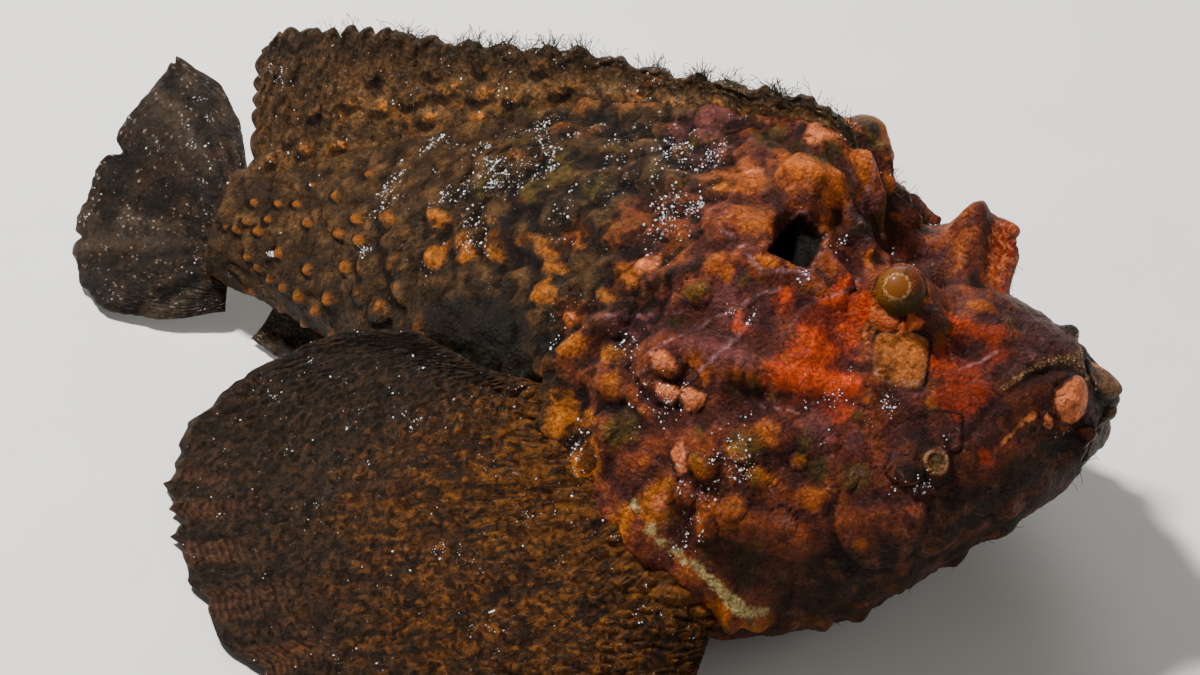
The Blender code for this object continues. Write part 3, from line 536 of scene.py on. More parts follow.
def lattice_value(cell, seed):
    """Fixed random number from 0 to 1 for each whole-number cell."""
    mixed = np.full(cell.shape[:-1], seed * 40503, np.int64)
    for k, prime in zip(range(cell.shape[-1]), (73856093, 19349663, 83492791)):
        mixed ^= cell[..., k] * prime
    mixed &= 0xFFFFFFFF
    mixed = ((mixed ^ (mixed >> 15)) * 1274126177) & 0x7FFFFFFF
    mixed = ((mixed ^ (mixed >> 12)) * 668265263) & 0x7FFFFFFF
    return ((mixed ^ (mixed >> 16)) & 0xFFFFF) / 0xFFFFF


def soft_noise(points, size, seed):
    """Smooth random field from -1 to 1 with blobs about size across."""
    place = points / size
    cell = np.floor(place).astype(np.int64)
    t = place - cell
    t = t * t * (3 - 2 * t)
    total = np.zeros(points.shape[:-1])
    for corner in itertools.product((0, 1), repeat=3):
        corner = np.array(corner)
        weight = np.prod(np.where(corner == 1, t, 1 - t), axis=-1)
        total += weight * lattice_value(cell + corner, seed)
    return total * 2 - 1


def pebbles(points, size, seed):
    """Cells about size across: distance from the nearest middle, width to the seam, number."""
    place = points / size
    cell = np.floor(place).astype(np.int64)
    nearest = np.full(points.shape[:-1], 9.0)
    second = nearest.copy()
    number = np.zeros(points.shape[:-1])
    axes = range(points.shape[-1])
    for corner in itertools.product((-1, 0, 1), repeat=len(axes)):
        here = cell + np.array(corner)
        spot = here + 0.15 + 0.7 * np.stack([lattice_value(here, seed + k) for k in axes], -1)
        away = np.linalg.norm(place - spot, axis=-1)
        closer = away < nearest
        second = np.where(closer, nearest, np.minimum(second, away))
        number = np.where(closer, lattice_value(here, seed + 3), number)
        nearest = np.minimum(nearest, away)
    return nearest, second - nearest, number


def shaken(points, size, amount, seed):
    """Points moved about by a noise, so that what is laid out on them loses its even edges."""
    moves = [soft_noise(points, size, seed + k) for k in range(3)]
    return points + amount * np.stack(moves, -1)


def lumps(points, size, share, seed):
    """Rounded lumps on a share of the cells about size across: height, cell's number, seam."""
    nearest, seam, number = pebbles(points, size, seed)
    raised = ease(number, 0.95 - share, 1.05 - share)
    return np.clip(1.12 - (nearest / 0.52) ** 2, 0, 1) ** 0.8 * raised, number, seam


def laid_flat(points, column, wobble):
    """Places of a grid of points measured along its surface from one column, a little shaken."""
    down = np.linalg.norm(np.diff(points, axis=0), axis=-1)
    down = np.concatenate([0 * down[:1], np.cumsum(down, axis=0)])[:, column][:, None]
    across = np.linalg.norm(np.diff(points, axis=1), axis=-1)
    across = np.concatenate([0 * across[:, :1], np.cumsum(across, axis=1)], axis=1)
    across = across - across[:, column][:, None]
    moves = [soft_noise(points, 5.0, SEED + 90), soft_noise(points, 5.0, SEED + 91)]
    return np.stack([down + 0 * across, across], -1) + wobble * np.stack(moves, -1)


def pushed(points):
    """Points in the frame after the soft pushes."""
    for place, radius, move in PUSHES:
        away = np.linalg.norm(points - SHIFT - np.array(place), axis=-1)
        points = points + mound(away, radius)[..., None] * np.array(move)
    return points


def blurred(grid, times):
    """Grid evened out over its neighbours, round the body and along it."""
    for _ in range(times):
        grid = (np.roll(grid, 1, 1) + np.roll(grid, -1, 1) + 2 * grid) / 4
        evened = grid.copy()
        evened[1:-1] = (grid[:-2] + grid[2:] + 2 * grid[1:-1]) / 4
        grid = evened
    return grid


# ---------------------------------------------------------------- the skin's relief and colours

def both_sides(table):
    """Each row of a table of places for the right side, and again for the left."""
    for side in (1, -1):
        for s, degrees, *rest in table:
            yield (s, side * degrees, *rest)


def chain(line, side=1):
    """Points on the plain body along a line of (s, degrees)."""
    return np.array([skin_point(s, side * degrees)[0] for s, degrees in line])


def away_from(points, s, degrees):
    """Distance of each point from a place on the plain body."""
    return np.linalg.norm(points - skin_point(s, degrees)[0], axis=-1)


def patch_mask(places, patches):
    """1 inside the patches of one colour, falling to 0 round them."""
    mask = np.zeros(places.shape[:-1])
    for s, degrees, radius in patches:
        mask = np.maximum(mask, np.clip(1.3 - away_from(places, s, degrees) / radius, 0, 1))
    return mask


def across_place(base, s, degrees):
    """How far each point lies from a place on the skin: back along the body, and round it."""
    centre, out = skin_point(s, degrees)
    back = np.array([1.0, 0, 0]) - out[0] * out
    back /= np.linalg.norm(back)
    offset = base - centre
    near = np.abs(offset @ out) < 8
    return np.where(near, offset @ back, 99), np.where(near, offset @ np.cross(out, back), 99)


def inside_corners(x, y, corners):
    """Signed distance of each place from the edges round the corners, above 0 inside."""
    depth = np.full(np.shape(x), 1e9)
    middle = np.mean(corners, axis=0)
    for (ax, ay), (bx, by) in zip(corners, corners[1:] + corners[:1]):
        length = math.hypot(bx - ax, by - ay)
        turn = ((bx - ax) * (y - ay) - (by - ay) * (x - ax)) / length
        inner = (bx - ax) * (middle[1] - ay) - (by - ay) * (middle[0] - ax)
        depth = np.minimum(depth, turn * np.sign(inner))
    return depth


def mouth(base):
    """Signed distance from the gape in the side view, and how much it counts at each place."""
    view = base[..., [0, 2]]
    line = np.array(GAPE, float)
    away = distance_to_line(view, line)
    side = np.full(away.shape, -1.0)
    nearest = np.full(away.shape, 1e9)
    for a, b in zip(line[:-1], line[1:]):
        from_part = distance_to_line(view, np.array([a, b]))
        run = b - a
        turn = run[0] * (view[..., 1] - a[1]) - run[1] * (view[..., 0] - a[0])
        closer = from_part < nearest - 1e-6
        side = np.where(closer, np.sign(turn), side)
        nearest = np.where(closer, from_part, nearest)
    return away * side, np.clip((34 - base[..., 0]) / 8, 0, 1)


def eye_axis(side, direction=GAZE):
    """Centre and gaze of an eye on the upright animal; side is -1 on the right, 1 on the left."""
    flip = np.array([1, side, 1])
    gaze = np.array(direction) * flip
    return np.array(EYE_CENTRE) * flip, gaze / np.linalg.norm(gaze)


def eye_place(side, direction):
    """Centre and gaze of an eye in the frame."""
    centre, gaze = eye_axis(side, direction)
    ahead = pose(centre + gaze) - pose(centre)
    return pose(centre), ahead / np.linalg.norm(ahead)


def carve_eye(moved, side):
    """Skin pressed in under the open part of an eye, so that the eye's own ball shows there."""
    centre, gaze = eye_axis(side)
    offset = moved - centre
    far = np.linalg.norm(offset, axis=-1)
    opening = far * math.cos(math.radians(EYE_OPENING))
    inside = (offset @ gaze > opening) & (far < EYE_RADIUS * 1.8)
    scale = np.where(inside, np.minimum(1, (EYE_RADIUS - 0.7) / np.maximum(far, 1e-6)), 1)
    return centre + offset * scale[..., None]


class SkinForm:
    """Relief of the skin and masks of its colours, worked out step by step on a grid of places."""

    def __init__(self, s, degrees):
        self.s, self.degrees, self.turn = s, degrees, np.abs(degrees)
        self.base, self.out = skin_point(s, degrees)
        self.loose = shaken(shaken(self.base, 9.0, 2.4, SEED + 1), 3.4, 0.9, SEED + 4)
        self.lift = np.zeros(s.shape)
        self.masks = {key: np.full(s.shape, FAR_AWAY.get(key, 0.0)) for key in GATHERED}

    def loosened(self, share):
        """Places on the plain body, moved by a share of the way to the shaken ones."""
        return (1 - share) * self.base + share * self.loose

    def raise_mask(self, key, values):
        """Make a mask at least as high as the values."""
        self.masks[key] = np.maximum(self.masks[key], values)

    def swell(self):
        """Swellings, pads, ridges and folds of the head, and the fillet along the dorsal fin."""
        base, s, turn = self.base, self.s, self.turn
        pads = [(*place, *THROAT_PAD) for place in both_sides(THROAT_PADS)]
        pads += [(*place, *CHIN_PAD) for place in both_sides(CHIN_PADS)]
        for form_s, degrees, radius, height in (*both_sides(HEAD_FORMS), *pads, *MIDLINE_FORMS):
            self.lift += height * mound(away_from(base, form_s, degrees), radius)
        for side in (-1, 1):
            for breadth, height, line in HEAD_RIDGES:
                self.lift += height * mound(distance_to_line(base, chain(line, side)), breadth)
            flap_s, flap_degrees, radius, height = CHEEK_FLAP
            away = away_from(base, flap_s, side * flap_degrees)
            flap = np.clip((radius - away) / 1.4, 0, 1) * (0.4 + 0.6 * away / radius)
            self.lift += height * ease(turn, 78, 88) * flap
        for fold_degrees in NAPE_FOLDS:
            fold = chain([(fold_s, fold_degrees) for fold_s in NAPE_FOLD_S])
            self.lift += NAPE_FOLD[1] * mound(distance_to_line(base, fold), NAPE_FOLD[0])
        fillet = ease(s, 60, 70) * bell(np.maximum(np.abs(base[..., 1]) - 2.5, 0), 2.6)
        self.lift += 2.6 * fillet * (base[..., 2] > section(s, 0 * s)[..., 2] - 12)

    def draw_lines(self):
        """Fine raised lines of the skin, and the coloured edges that follow a line."""
        strokes = [("line", 0.25, 1.1, breadth, chain(line)) for breadth, line in MIDLINE_LINES]
        for side, (key, lines) in itertools.product((-1, 1), LINES.items()):
            share, spread = (0.25, 1.1) if key == "line" else (0.3, 1.7)
            strokes += [(key, share, spread, breadth, chain(line, side))
                        for breadth, line in lines]
        for key, share, spread, breadth, line in strokes:
            away = distance_to_line(self.loosened(share), line)
            self.raise_mask(key, mound(away, breadth * spread))
        self.lift += LINE_RISE * self.masks["line"]

    def set_knobbles(self):
        """Small knobs with a steep edge; gives back the shade round them."""
        rim = np.zeros(self.s.shape)
        ground = self.loosened(0.3)
        for s, degrees, half_back, half_down, height in both_sides(KNOBBLES):
            back, around = across_place(ground, s, degrees)
            reach = np.hypot(back / half_back, around / half_down)
            self.lift += height * np.sqrt(np.clip(1 - reach ** 2, 0, 1))
            self.lift -= 0.3 * bell(reach - KNOBBLE_RIM, 0.1)
            rim = np.maximum(rim, 0.55 * bell(reach - KNOBBLE_RIM, 0.12))
        return rim

    def set_plates(self):
        """The pit behind each eye, the plates below it, its pores and the ringed knob."""
        masks = self.masks
        for side in (-1, 1):
            corners = [(a, b * 0.95) for a, b in PIT]
            pit = inside_corners(self.s, side * self.degrees * 0.95, corners)
            self.lift -= 2.2 * np.clip(pit / 0.8 + 0.5, 0, 1)
            self.raise_mask("pit", pit)
            for key, (s, degrees, half) in (("plate", PLATE), ("small_plate", SMALL_PLATE)):
                back, around = across_place(self.loosened(0.1), s, side * degrees)
                first = (-0.93 * back + 0.37 * side * around) / half
                second = (-0.37 * back - 0.93 * side * around) / half / 1.08
                reach = (np.abs(first) ** 7 + np.abs(second) ** 7) ** (1 / 7)
                front = np.clip(1.5 * np.maximum(-second, 0.9 * first) - 0.35, 0, 1) * (reach < 2)
                self.lift += (0.25 + 0.3 * front) * np.clip((1 - reach) * 9, 0, 1)
                self.lift -= 0.35 * front * bell((reach - 1.03) * half, 0.32)
                masks[key] = np.minimum(masks[key], reach)
                self.raise_mask("border", front)
            for s, degrees in PORES:
                away = np.hypot(*across_place(self.base, s, side * degrees)) - 1.1
                self.lift += 0.45 * bell(away, 0.4)
                self.raise_mask("ring", 0.7 * bell(away, 0.35))
            s, degrees, radius = RING_KNOB
            away = np.hypot(*across_place(self.base, s, side * degrees))
            self.lift += 1.3 * bell(away - radius, 0.8) - 0.8 * mound(away, radius)
            self.raise_mask("ring", bell(away - radius, 0.6))

    def set_stones(self, rim):
        """Lumps and warts, with the shade behind each; gives back how far they overhang."""
        s, turn = self.s, self.turn
        sheet = laid_flat(self.base, BACK_COLUMNS // 2, 1.6)
        behind = np.stack([0 * s - 1.2, -0.9 * np.sign(self.degrees)], -1)
        size, height, first, last = STONES
        weight = ease(s, first - 12, first + 12) * ease(s, last, last - 40) * ease(turn, 128, 104)
        weight = weight * (1 - 0.85 * ease(turn, 64, 74) * ease(s, 118, 130))
        stone, number = lumps(sheet * STONE_STRETCH, size, 0.78, SEED)[:2]
        small_stone = lumps(sheet, SMALL_STONES[0], 0.22, SEED + 60)[0]
        face_stone, face_number = lumps(sheet, FACE_STONES[0], 0.24, SEED + 30)[:2]
        face = face_stone * ease(s, 8, 30) * ease(s, first + 10, first - 14)
        stones = height * stone * weight + SMALL_STONES[1] * small_stone * (0.25 + 0.75 * weight)
        stones += FACE_STONES[1] * face

        wart, broad, shaded = np.zeros((3, *s.shape))
        ground = self.loosened(0.15)
        for wart_s, degrees, radius in both_sides(WARTS):
            place = (ground - skin_point(wart_s, degrees)[0]) * (0.85, 1, 1.4)
            away = np.linalg.norm(place, axis=-1)
            wart = np.maximum(wart, mound(away, radius * 1.15) * radius * 1.15)
            shadow = mound(np.linalg.norm(place - (1.0, 0, -1.0), axis=-1), radius * 1.4)
            shaded = np.maximum(shaded, 1.7 * (shadow - mound(away, radius * 1.25)))
        ground = self.loosened(0.5)
        for wart_s, degrees, radius in both_sides(BROAD_WARTS):
            place = (ground - skin_point(wart_s, degrees)[0]) * (0.78, 1, 1.2)
            rise = dome(np.linalg.norm(place, axis=-1) / radius)
            shadow = dome(np.linalg.norm(place - (1.2, 0, -1.4), axis=-1) / radius / 1.02)
            broad = np.maximum(broad, rise * radius)
            shaded = np.maximum(shaded, 1.7 * (shadow - rise))
        stones = stones * (1 - 0.85 * np.clip(wart + broad / 3, 0, 1)) + BROAD_WART_RISE * broad
        self.lift += stones + WART_RISE * wart + 0.16 * lumps(sheet, 1.9, 0.45, SEED + 10)[0]
        self.lift += 0.7 * soft_noise(self.base, 11.0, SEED + 20)
        self.lift += 0.35 * soft_noise(self.base, 4.0, SEED + 21)
        for size_across, depth in WRINKLES:
            wrinkle = soft_noise(self.loose * (0.75, 1, 1.1), size_across, SEED + 24)
            wrinkle = np.clip(1 - np.abs(wrinkle) / 0.26, 0, 1) ** 1.5
            self.lift -= depth * (0.35 + 0.65 * ease(s, 56, 80)) * wrinkle

        shadow = lumps((sheet + behind) * STONE_STRETCH, STONE_SHADE, 0.78, SEED)[0]
        shaded = np.maximum(shaded, 1.5 * (shadow - stone) * weight)
        shadow = lumps(sheet + 0.6 * behind, SMALL_STONES[0], 0.22, SEED + 60)[0]
        shaded = np.maximum(shaded, 0.9 * (shadow - small_stone) * (0.35 + 0.65 * weight))
        shaded = shaded * (1 - 0.6 * ease(s, 70, 56))
        self.masks["shade"] = np.clip(np.maximum(shaded, rim), 0, 1)
        self.masks["wart"] = np.clip(wart / 2.5, 0, 1)

        flank = ease(turn, 44, 55)
        back = 1 - flank
        tall = np.clip(broad / 4.4, 0, 1)
        stone = 0.85 * stone * weight
        clouds = np.clip(0.8 + 0.5 * soft_noise(self.base, 9.0, SEED + 25), 0, 1)
        self.tints = (
            ("olive", 0.6 * stone * back * ease(number, 0.52, 0.6) * ease(number, 0.86, 0.8)),
            ("olive", 0.5 * tall * back),
            ("olive", 0.9 * face * ease(face_number, 0.86, 0.80)),
            ("orange", 0.6 * stone * back * ease(number, 0.82, 0.86)),
            ("orange", face * ease(face_number, 0.86, 0.92)),
            ("gold", stone * ease(number, 0.5, 0.6) * flank),
            ("gold", tall * flank * clouds),
        )
        return OVERHANG * (stones * (0.4 + 0.6 * ease(s, 60, 100)) + 0.5 * wart)

    def part_lips(self):
        """The gape with a lip on either side of it."""
        from_gape, near = mouth(self.base)
        lips = near * ease(self.s, 15.5, 10.0)
        upper, lower = bell(from_gape - 2.0, 1.3), bell(from_gape + LIP_OFFSET, LIP_BREADTH)
        self.lift += near * (0.5 * upper + LIP_HEIGHT * lower)
        self.lift -= GAPE_DEPTH * near * bell(from_gape, GAPE_BREADTH) * (0.3 + 0.7 * lips)
        front = near * ease(self.base[..., 2], 66.5, 70)
        self.masks["gape"] = from_gape * near + FAR_AWAY["gape"] * (1 - near)
        self.masks["lips"] = lips
        self.masks["front"] = front
        self.masks["fringe"] = front * bell(from_gape - 1.2, 0.5)
        jaw = 0.8 * ease(self.s, 26, 15) * ease(from_gape, -7, -13)
        jaw = (jaw + 0.3 * ease(from_gape, -14, -24)) * ease(self.s, 30, 18)
        jaw = jaw + ease(self.turn, 84, 104) * ease(self.s, 64, 36)
        self.masks["under"] = np.clip(jaw, 0, 1)

    def tint(self):
        """Masks of the colour patches, of the relief's hollows and crests, and of the painted
        shade on the snout and the lower cheek.
        """
        s, turn = self.s, self.turn
        for tone, patches in PATCHES.items():
            patches = patches if tone in ONE_SIDED else both_sides(patches)
            self.masks[tone] = patch_mask(self.loose, patches)
        for tone, values in self.tints:
            self.raise_mask(tone, values)
        # Hollows and crests of the relief: painted shade in the hollows, painted highlight on the
        # crests, and lilac in the head's hollows
        self.masks["cavity"] = np.clip(0.5 + (self.lift - blurred(self.lift, 26)) / 1.9, 0, 1)
        # Painted shade on the snout and the lower cheek
        painted_face_shade = ease(s, 36, 24) * (1 - 0.8 * ease(turn, 66, 76) * ease(s, 18, 24))
        painted_face_shade = np.maximum(painted_face_shade, 0.45 * ease(turn, 58, 72) * ease(s, 72, 60))
        self.masks["painted_face_shade"] = painted_face_shade * (1 - 0.5 * bell(turn - 58, 8) * bell(s - 10, 5))
        self.masks["head"] = ease(s, 118, 84)

    def raised(self, slide):
        """The places lifted to their relief, with the lumps sliding back and down a little."""
        down = -0.7 * slide * ease(self.turn, 4, 30)
        return self.base + self.out * self.lift[..., None] + np.stack([slide, 0 * slide, down], -1)

    def set_lids(self, moved):
        """Lobes of the lower lid of each eye, and a moat round the ball."""
        far, half, width = LID_LOBES
        for side in (-1, 1):
            centre, gaze = eye_axis(side)
            offset = moved - centre
            ahead = offset @ gaze
            aside = offset - ahead[..., None] * gaze
            off_axis = np.linalg.norm(aside, axis=-1)
            sideways = np.cross(gaze, (0, 0, 1))
            lateral, above = aside @ sideways * side, aside @ np.cross(sideways, gaze)
            ridge = np.sqrt(np.clip(1 - ((off_axis - far) / half) ** 2, 0, 1))
            ridge = ridge * (1 - 0.8 * bell(lateral + 0.6, 0.5)) * (np.abs(ahead) < 8)
            ridge = ridge * ease(np.abs(lateral), width, width - 1) * ease(above, -4.4, -6.4)
            moat = bell(off_axis - 6.5, 0.5) * (np.abs(ahead) < 7)
            moved = moved + (1.3 * ridge - 0.15 * moat)[..., None] * gaze
            self.raise_mask("fold", ridge)
        return moved


def with_knobs(start):
    """Points after the knobs of both eyes have risen, the right one smoother than the left."""
    moved = start
    for side, rough in ((-1, 0.10), (1, 0.20)):
        flip = np.array([1, side, 1])
        for centre, axis, radius, *rises in KNOBS:
            axis = np.array(axis) * flip
            offset = start - np.array(centre) * flip
            height = offset @ axis
            off_axis = np.linalg.norm(offset - height[..., None] * axis, axis=-1)
            lifted = rises[side < 0] * mound(off_axis, radius) * (height > -30)
            uneven = soft_noise(start, 4.5, SEED + 22) + 0.3 * soft_noise(start, 2.0, SEED + 23)
            moved = moved + (lifted * (1 + rough * uneven))[..., None] * axis
    return moved


def shape_skin(s, degrees):
    """Points of the finished skin in the frame, and the masks of its relief and colours."""
    form = SkinForm(s, degrees)
    form.swell()
    form.draw_lines()
    rim = form.set_knobbles()
    form.set_plates()
    slide = form.set_stones(rim)
    form.part_lips()
    form.tint()
    moved = form.set_lids(with_knobs(form.raised(slide)))
    for side in (-1, 1):
        moved = carve_eye(moved, side)
    placed = pushed(pose(moved))
    placed[..., 2] = np.maximum(placed[..., 2], SKIN_CLEAR)
    return placed, form.masks


@functools.lru_cache(maxsize=1)
def skin_places():
    """s and degrees of each point of the skin's grid, its rows closest on the face."""
    rows = [SNOUT_START]
    for limit, spacing in ROW_SPACING:
        count = round((limit - rows[-1]) / spacing)
        rows += list(np.linspace(rows[-1], limit, count + 1)[1:])
    back = np.linspace(-BACK_DEGREES, BACK_DEGREES, BACK_COLUMNS + 1)
    belly = np.linspace(BACK_DEGREES, 360 - BACK_DEGREES, BELLY_COLUMNS + 1)[1:-1]
    around = np.concatenate([back, belly])
    around = np.where(around > 180, around - 360, around)
    return np.meshgrid(np.array(rows), around, indexing="ij")


@functools.lru_cache(maxsize=1)
def skin_grid():
    """The finished skin as a grid: points in the frame, and masks."""
    return shape_skin(*skin_places())


# ---------------------------------------------------------------- mesh helpers

def add_attribute(mesh, key, values):
    """Attribute of a mesh's points: numbers, or directions where the values have three columns."""
    values = np.asarray(values, np.float32)
    kind, field = (("FLOAT", "value"), ("FLOAT_VECTOR", "vector"))[values.ndim - 1]
    mesh.attributes.new(key, kind, "POINT").data.foreach_set(field, values.ravel())


def link_object(name, data):
    """Object that holds the data, set into the scene."""
    obj = bpy.data.objects.new(name, data)
    bpy.context.scene.collection.objects.link(obj)
    return obj


def new_mesh_object(name, verts, faces, attributes=None):
    """Mesh object from points in millimetres, smooth, faces turned outwards, with attributes."""
    mesh = bpy.data.meshes.new(name)
    mesh.from_pydata((np.asarray(verts) * MM).tolist(), [], faces)
    for key, values in (attributes or {}).items():
        add_attribute(mesh, key, values)
    bm = bmesh.new()
    bm.from_mesh(mesh)
    bmesh.ops.recalc_face_normals(bm, faces=bm.faces)
    bm.to_mesh(mesh)
    bm.free()
    mesh.shade_smooth()
    return link_object(name, mesh)


def round_faces(rows, cols, closed=False):
    """Faces of a grid that closes round its columns, and round its rows as well where closed."""
    return [(i * cols + j, i * cols + (j + 1) % cols,
             (i + 1) % rows * cols + (j + 1) % cols, (i + 1) % rows * cols + j)
            for i in range(rows if closed else rows - 1) for j in range(cols)]


def capped_faces(rows, cols):
    """Faces of a tube whose ends are drawn together in two more points after the grid's own."""
    first = rows * cols
    faces = round_faces(rows, cols)
    for j in range(cols):
        k = (j + 1) % cols
        faces += [(first, k, j), (first + 1, first - cols + j, first - cols + k)]
    return faces


def finish_piece(obj, material, slot, *replaced):
    """Give a piece its material and its body, and hide the solids it stands for; the slot is not
    used.
    """
    obj.data.materials.clear()
    obj.data.materials.append(material)
    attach(obj, "root")
    if replaced:
        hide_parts(*replaced)


# ---------------------------------------------------------------- materials

class Nodes:
    """Adds nodes to a tree with short calls."""

    def __init__(self, tree):
        self.tree = tree

    def plug(self, socket, value):
        """Link a socket to an output, or set its value; a colour may be the name of a tone."""
        if isinstance(value, bpy.types.NodeSocket):
            self.tree.links.new(value, socket)
        elif socket.type == "RGBA":
            if isinstance(value, str):
                value = getattr(bpy.context.scene.stonefish_tones, value)
            socket.default_value = (*value, 1)
        else:
            socket.default_value = value

    def make(self, kind, inputs=None, output=0, **settings):
        """Add a node with its settings and inputs; gives back one of its outputs."""
        node = self.tree.nodes.new(kind)
        for key, value in settings.items():
            setattr(node, key, value)
        for key, value in (inputs or {}).items():
            self.plug(node.inputs[key], value)
        return node.outputs[output]


class Shades(Nodes):
    """Builds one material by painting over its base; each call gives back an output."""

    def __init__(self, name, **noises):
        self.material = bpy.data.materials.new(name)
        self.material.use_nodes = True
        super().__init__(self.material.node_tree)
        self.shader = self.tree.nodes["Principled BSDF"]
        self.place = self.make("ShaderNodeTexCoord", output="Object")
        self.noises = {key: self.noise(*settings) for key, settings in noises.items()}
        self.base = None

    def mask(self, name):
        """Number kept as an attribute of the mesh."""
        return self.make("ShaderNodeAttribute", output="Fac", attribute_name=name)

    def noise(self, size, detail, rough, twist=0.0, vector=None):
        """Noise with blobs about size millimetres across."""
        return self.make("ShaderNodeTexNoise", {
            "Vector": vector or self.place, "Scale": 1 / (size * MM), "Detail": detail,
            "Roughness": rough, "Distortion": twist})

    def cells(self, size, vector=None, feature="F1"):
        """Distance in a pattern of cells about size millimetres across."""
        return self.make("ShaderNodeTexVoronoi", {
            "Vector": vector or self.place, "Scale": 1 / (size * MM)}, "Distance", feature=feature)

    def borders(self, size, vector):
        """Distance from the borders of cells about size millimetres across."""
        return self.cells(size, vector, "DISTANCE_TO_EDGE")

    def calc(self, operation, *values):
        """Result of one step of arithmetic."""
        return self.make("ShaderNodeMath", dict(enumerate(values)), operation=operation)

    def times(self, first, *others):
        """All the factors multiplied."""
        for other in others:
            first = self.calc("MULTIPLY", first, other)
        return first

    def step(self, value, low, high, bottom=0.0, top=1.0):
        """Value eased from bottom at low to top at high."""
        return self.make("ShaderNodeMapRange", {
            "Value": value, "From Min": low, "From Max": high, "To Min": bottom, "To Max": top},
            interpolation_type="SMOOTHSTEP")

    def blend(self, factor, a, b, way="MIX"):
        """Colour a at factor 0, and b laid over it at factor 1."""
        return self.make("ShaderNodeMix", {0: factor, 6: a, 7: b}, 2, data_type="RGBA",
                         blend_type=way)

    def ragged(self, mask, noise, amount, low, high):
        """A mask with its edge broken up by a noise."""
        shaken = self.calc("MULTIPLY_ADD", noise, amount, -amount / 2)
        return self.step(self.calc("ADD", mask, shaken), low, high)

    def sheet(self, across, along):
        """Place on a fin's sheet from its own attributes, in millimetres across and along."""
        return self.make("ShaderNodeCombineXYZ", {
            0: self.times(self.mask("across"), across * MM),
            1: self.times(self.mask("along"), along * MM)})

    def loosen(self, vector, amount, size):
        """Vector shaken by a noise, so that a pattern laid on it loses its straight lines."""
        scale = 1 / (size * MM)
        noise = self.make("ShaderNodeTexNoise", {"Vector": vector, "Scale": scale}, "Color")
        return self.make("ShaderNodeVectorMath", {0: noise, 1: [amount * MM] * 3, 2: vector},
                         operation="MULTIPLY_ADD")

    def paint(self, colour, *factors):
        """Lay a colour over the base, as strongly as the factors multiplied."""
        self.base = self.blend(self.times(*factors), self.base, colour)

    def dye(self, factor):
        """Multiply the base by a factor."""
        self.base = self.blend(1.0, self.base, factor, "MULTIPLY")

    def surface(self, **inputs):
        """Set the shader's inputs, with _ in place of a space; gives back the material."""
        for key, value in {"Base_Color": self.base, **inputs}.items():
            self.plug(self.shader.inputs[key.replace("_", " ")], value)
        return self.material

    def wet(self, roughest, *layers):
        """Wet finish over bumps, each a height and a distance in millimetres."""
        normal = {}
        for height, distance in layers:
            normal["Normal"] = self.make("ShaderNodeBump", {
                "Strength": 1.0, "Distance": distance * MM, "Height": height, **normal})
        return self.surface(
            Roughness=self.step(self.noises["small"], 0.3, 0.7, 0.35, roughest),
            Specular_IOR_Level=0.04, Specular_Tint=(1.0, 0.72, 0.55), Coat_Weight=0.15,
            Coat_Roughness=0.05, Coat_Normal=normal["Normal"], **normal)

    def calls(self):
        """The calls used most, for short names in a material."""
        return self.mask, self.step, self.calc, self.times, self.blend, self.paint, self.dye


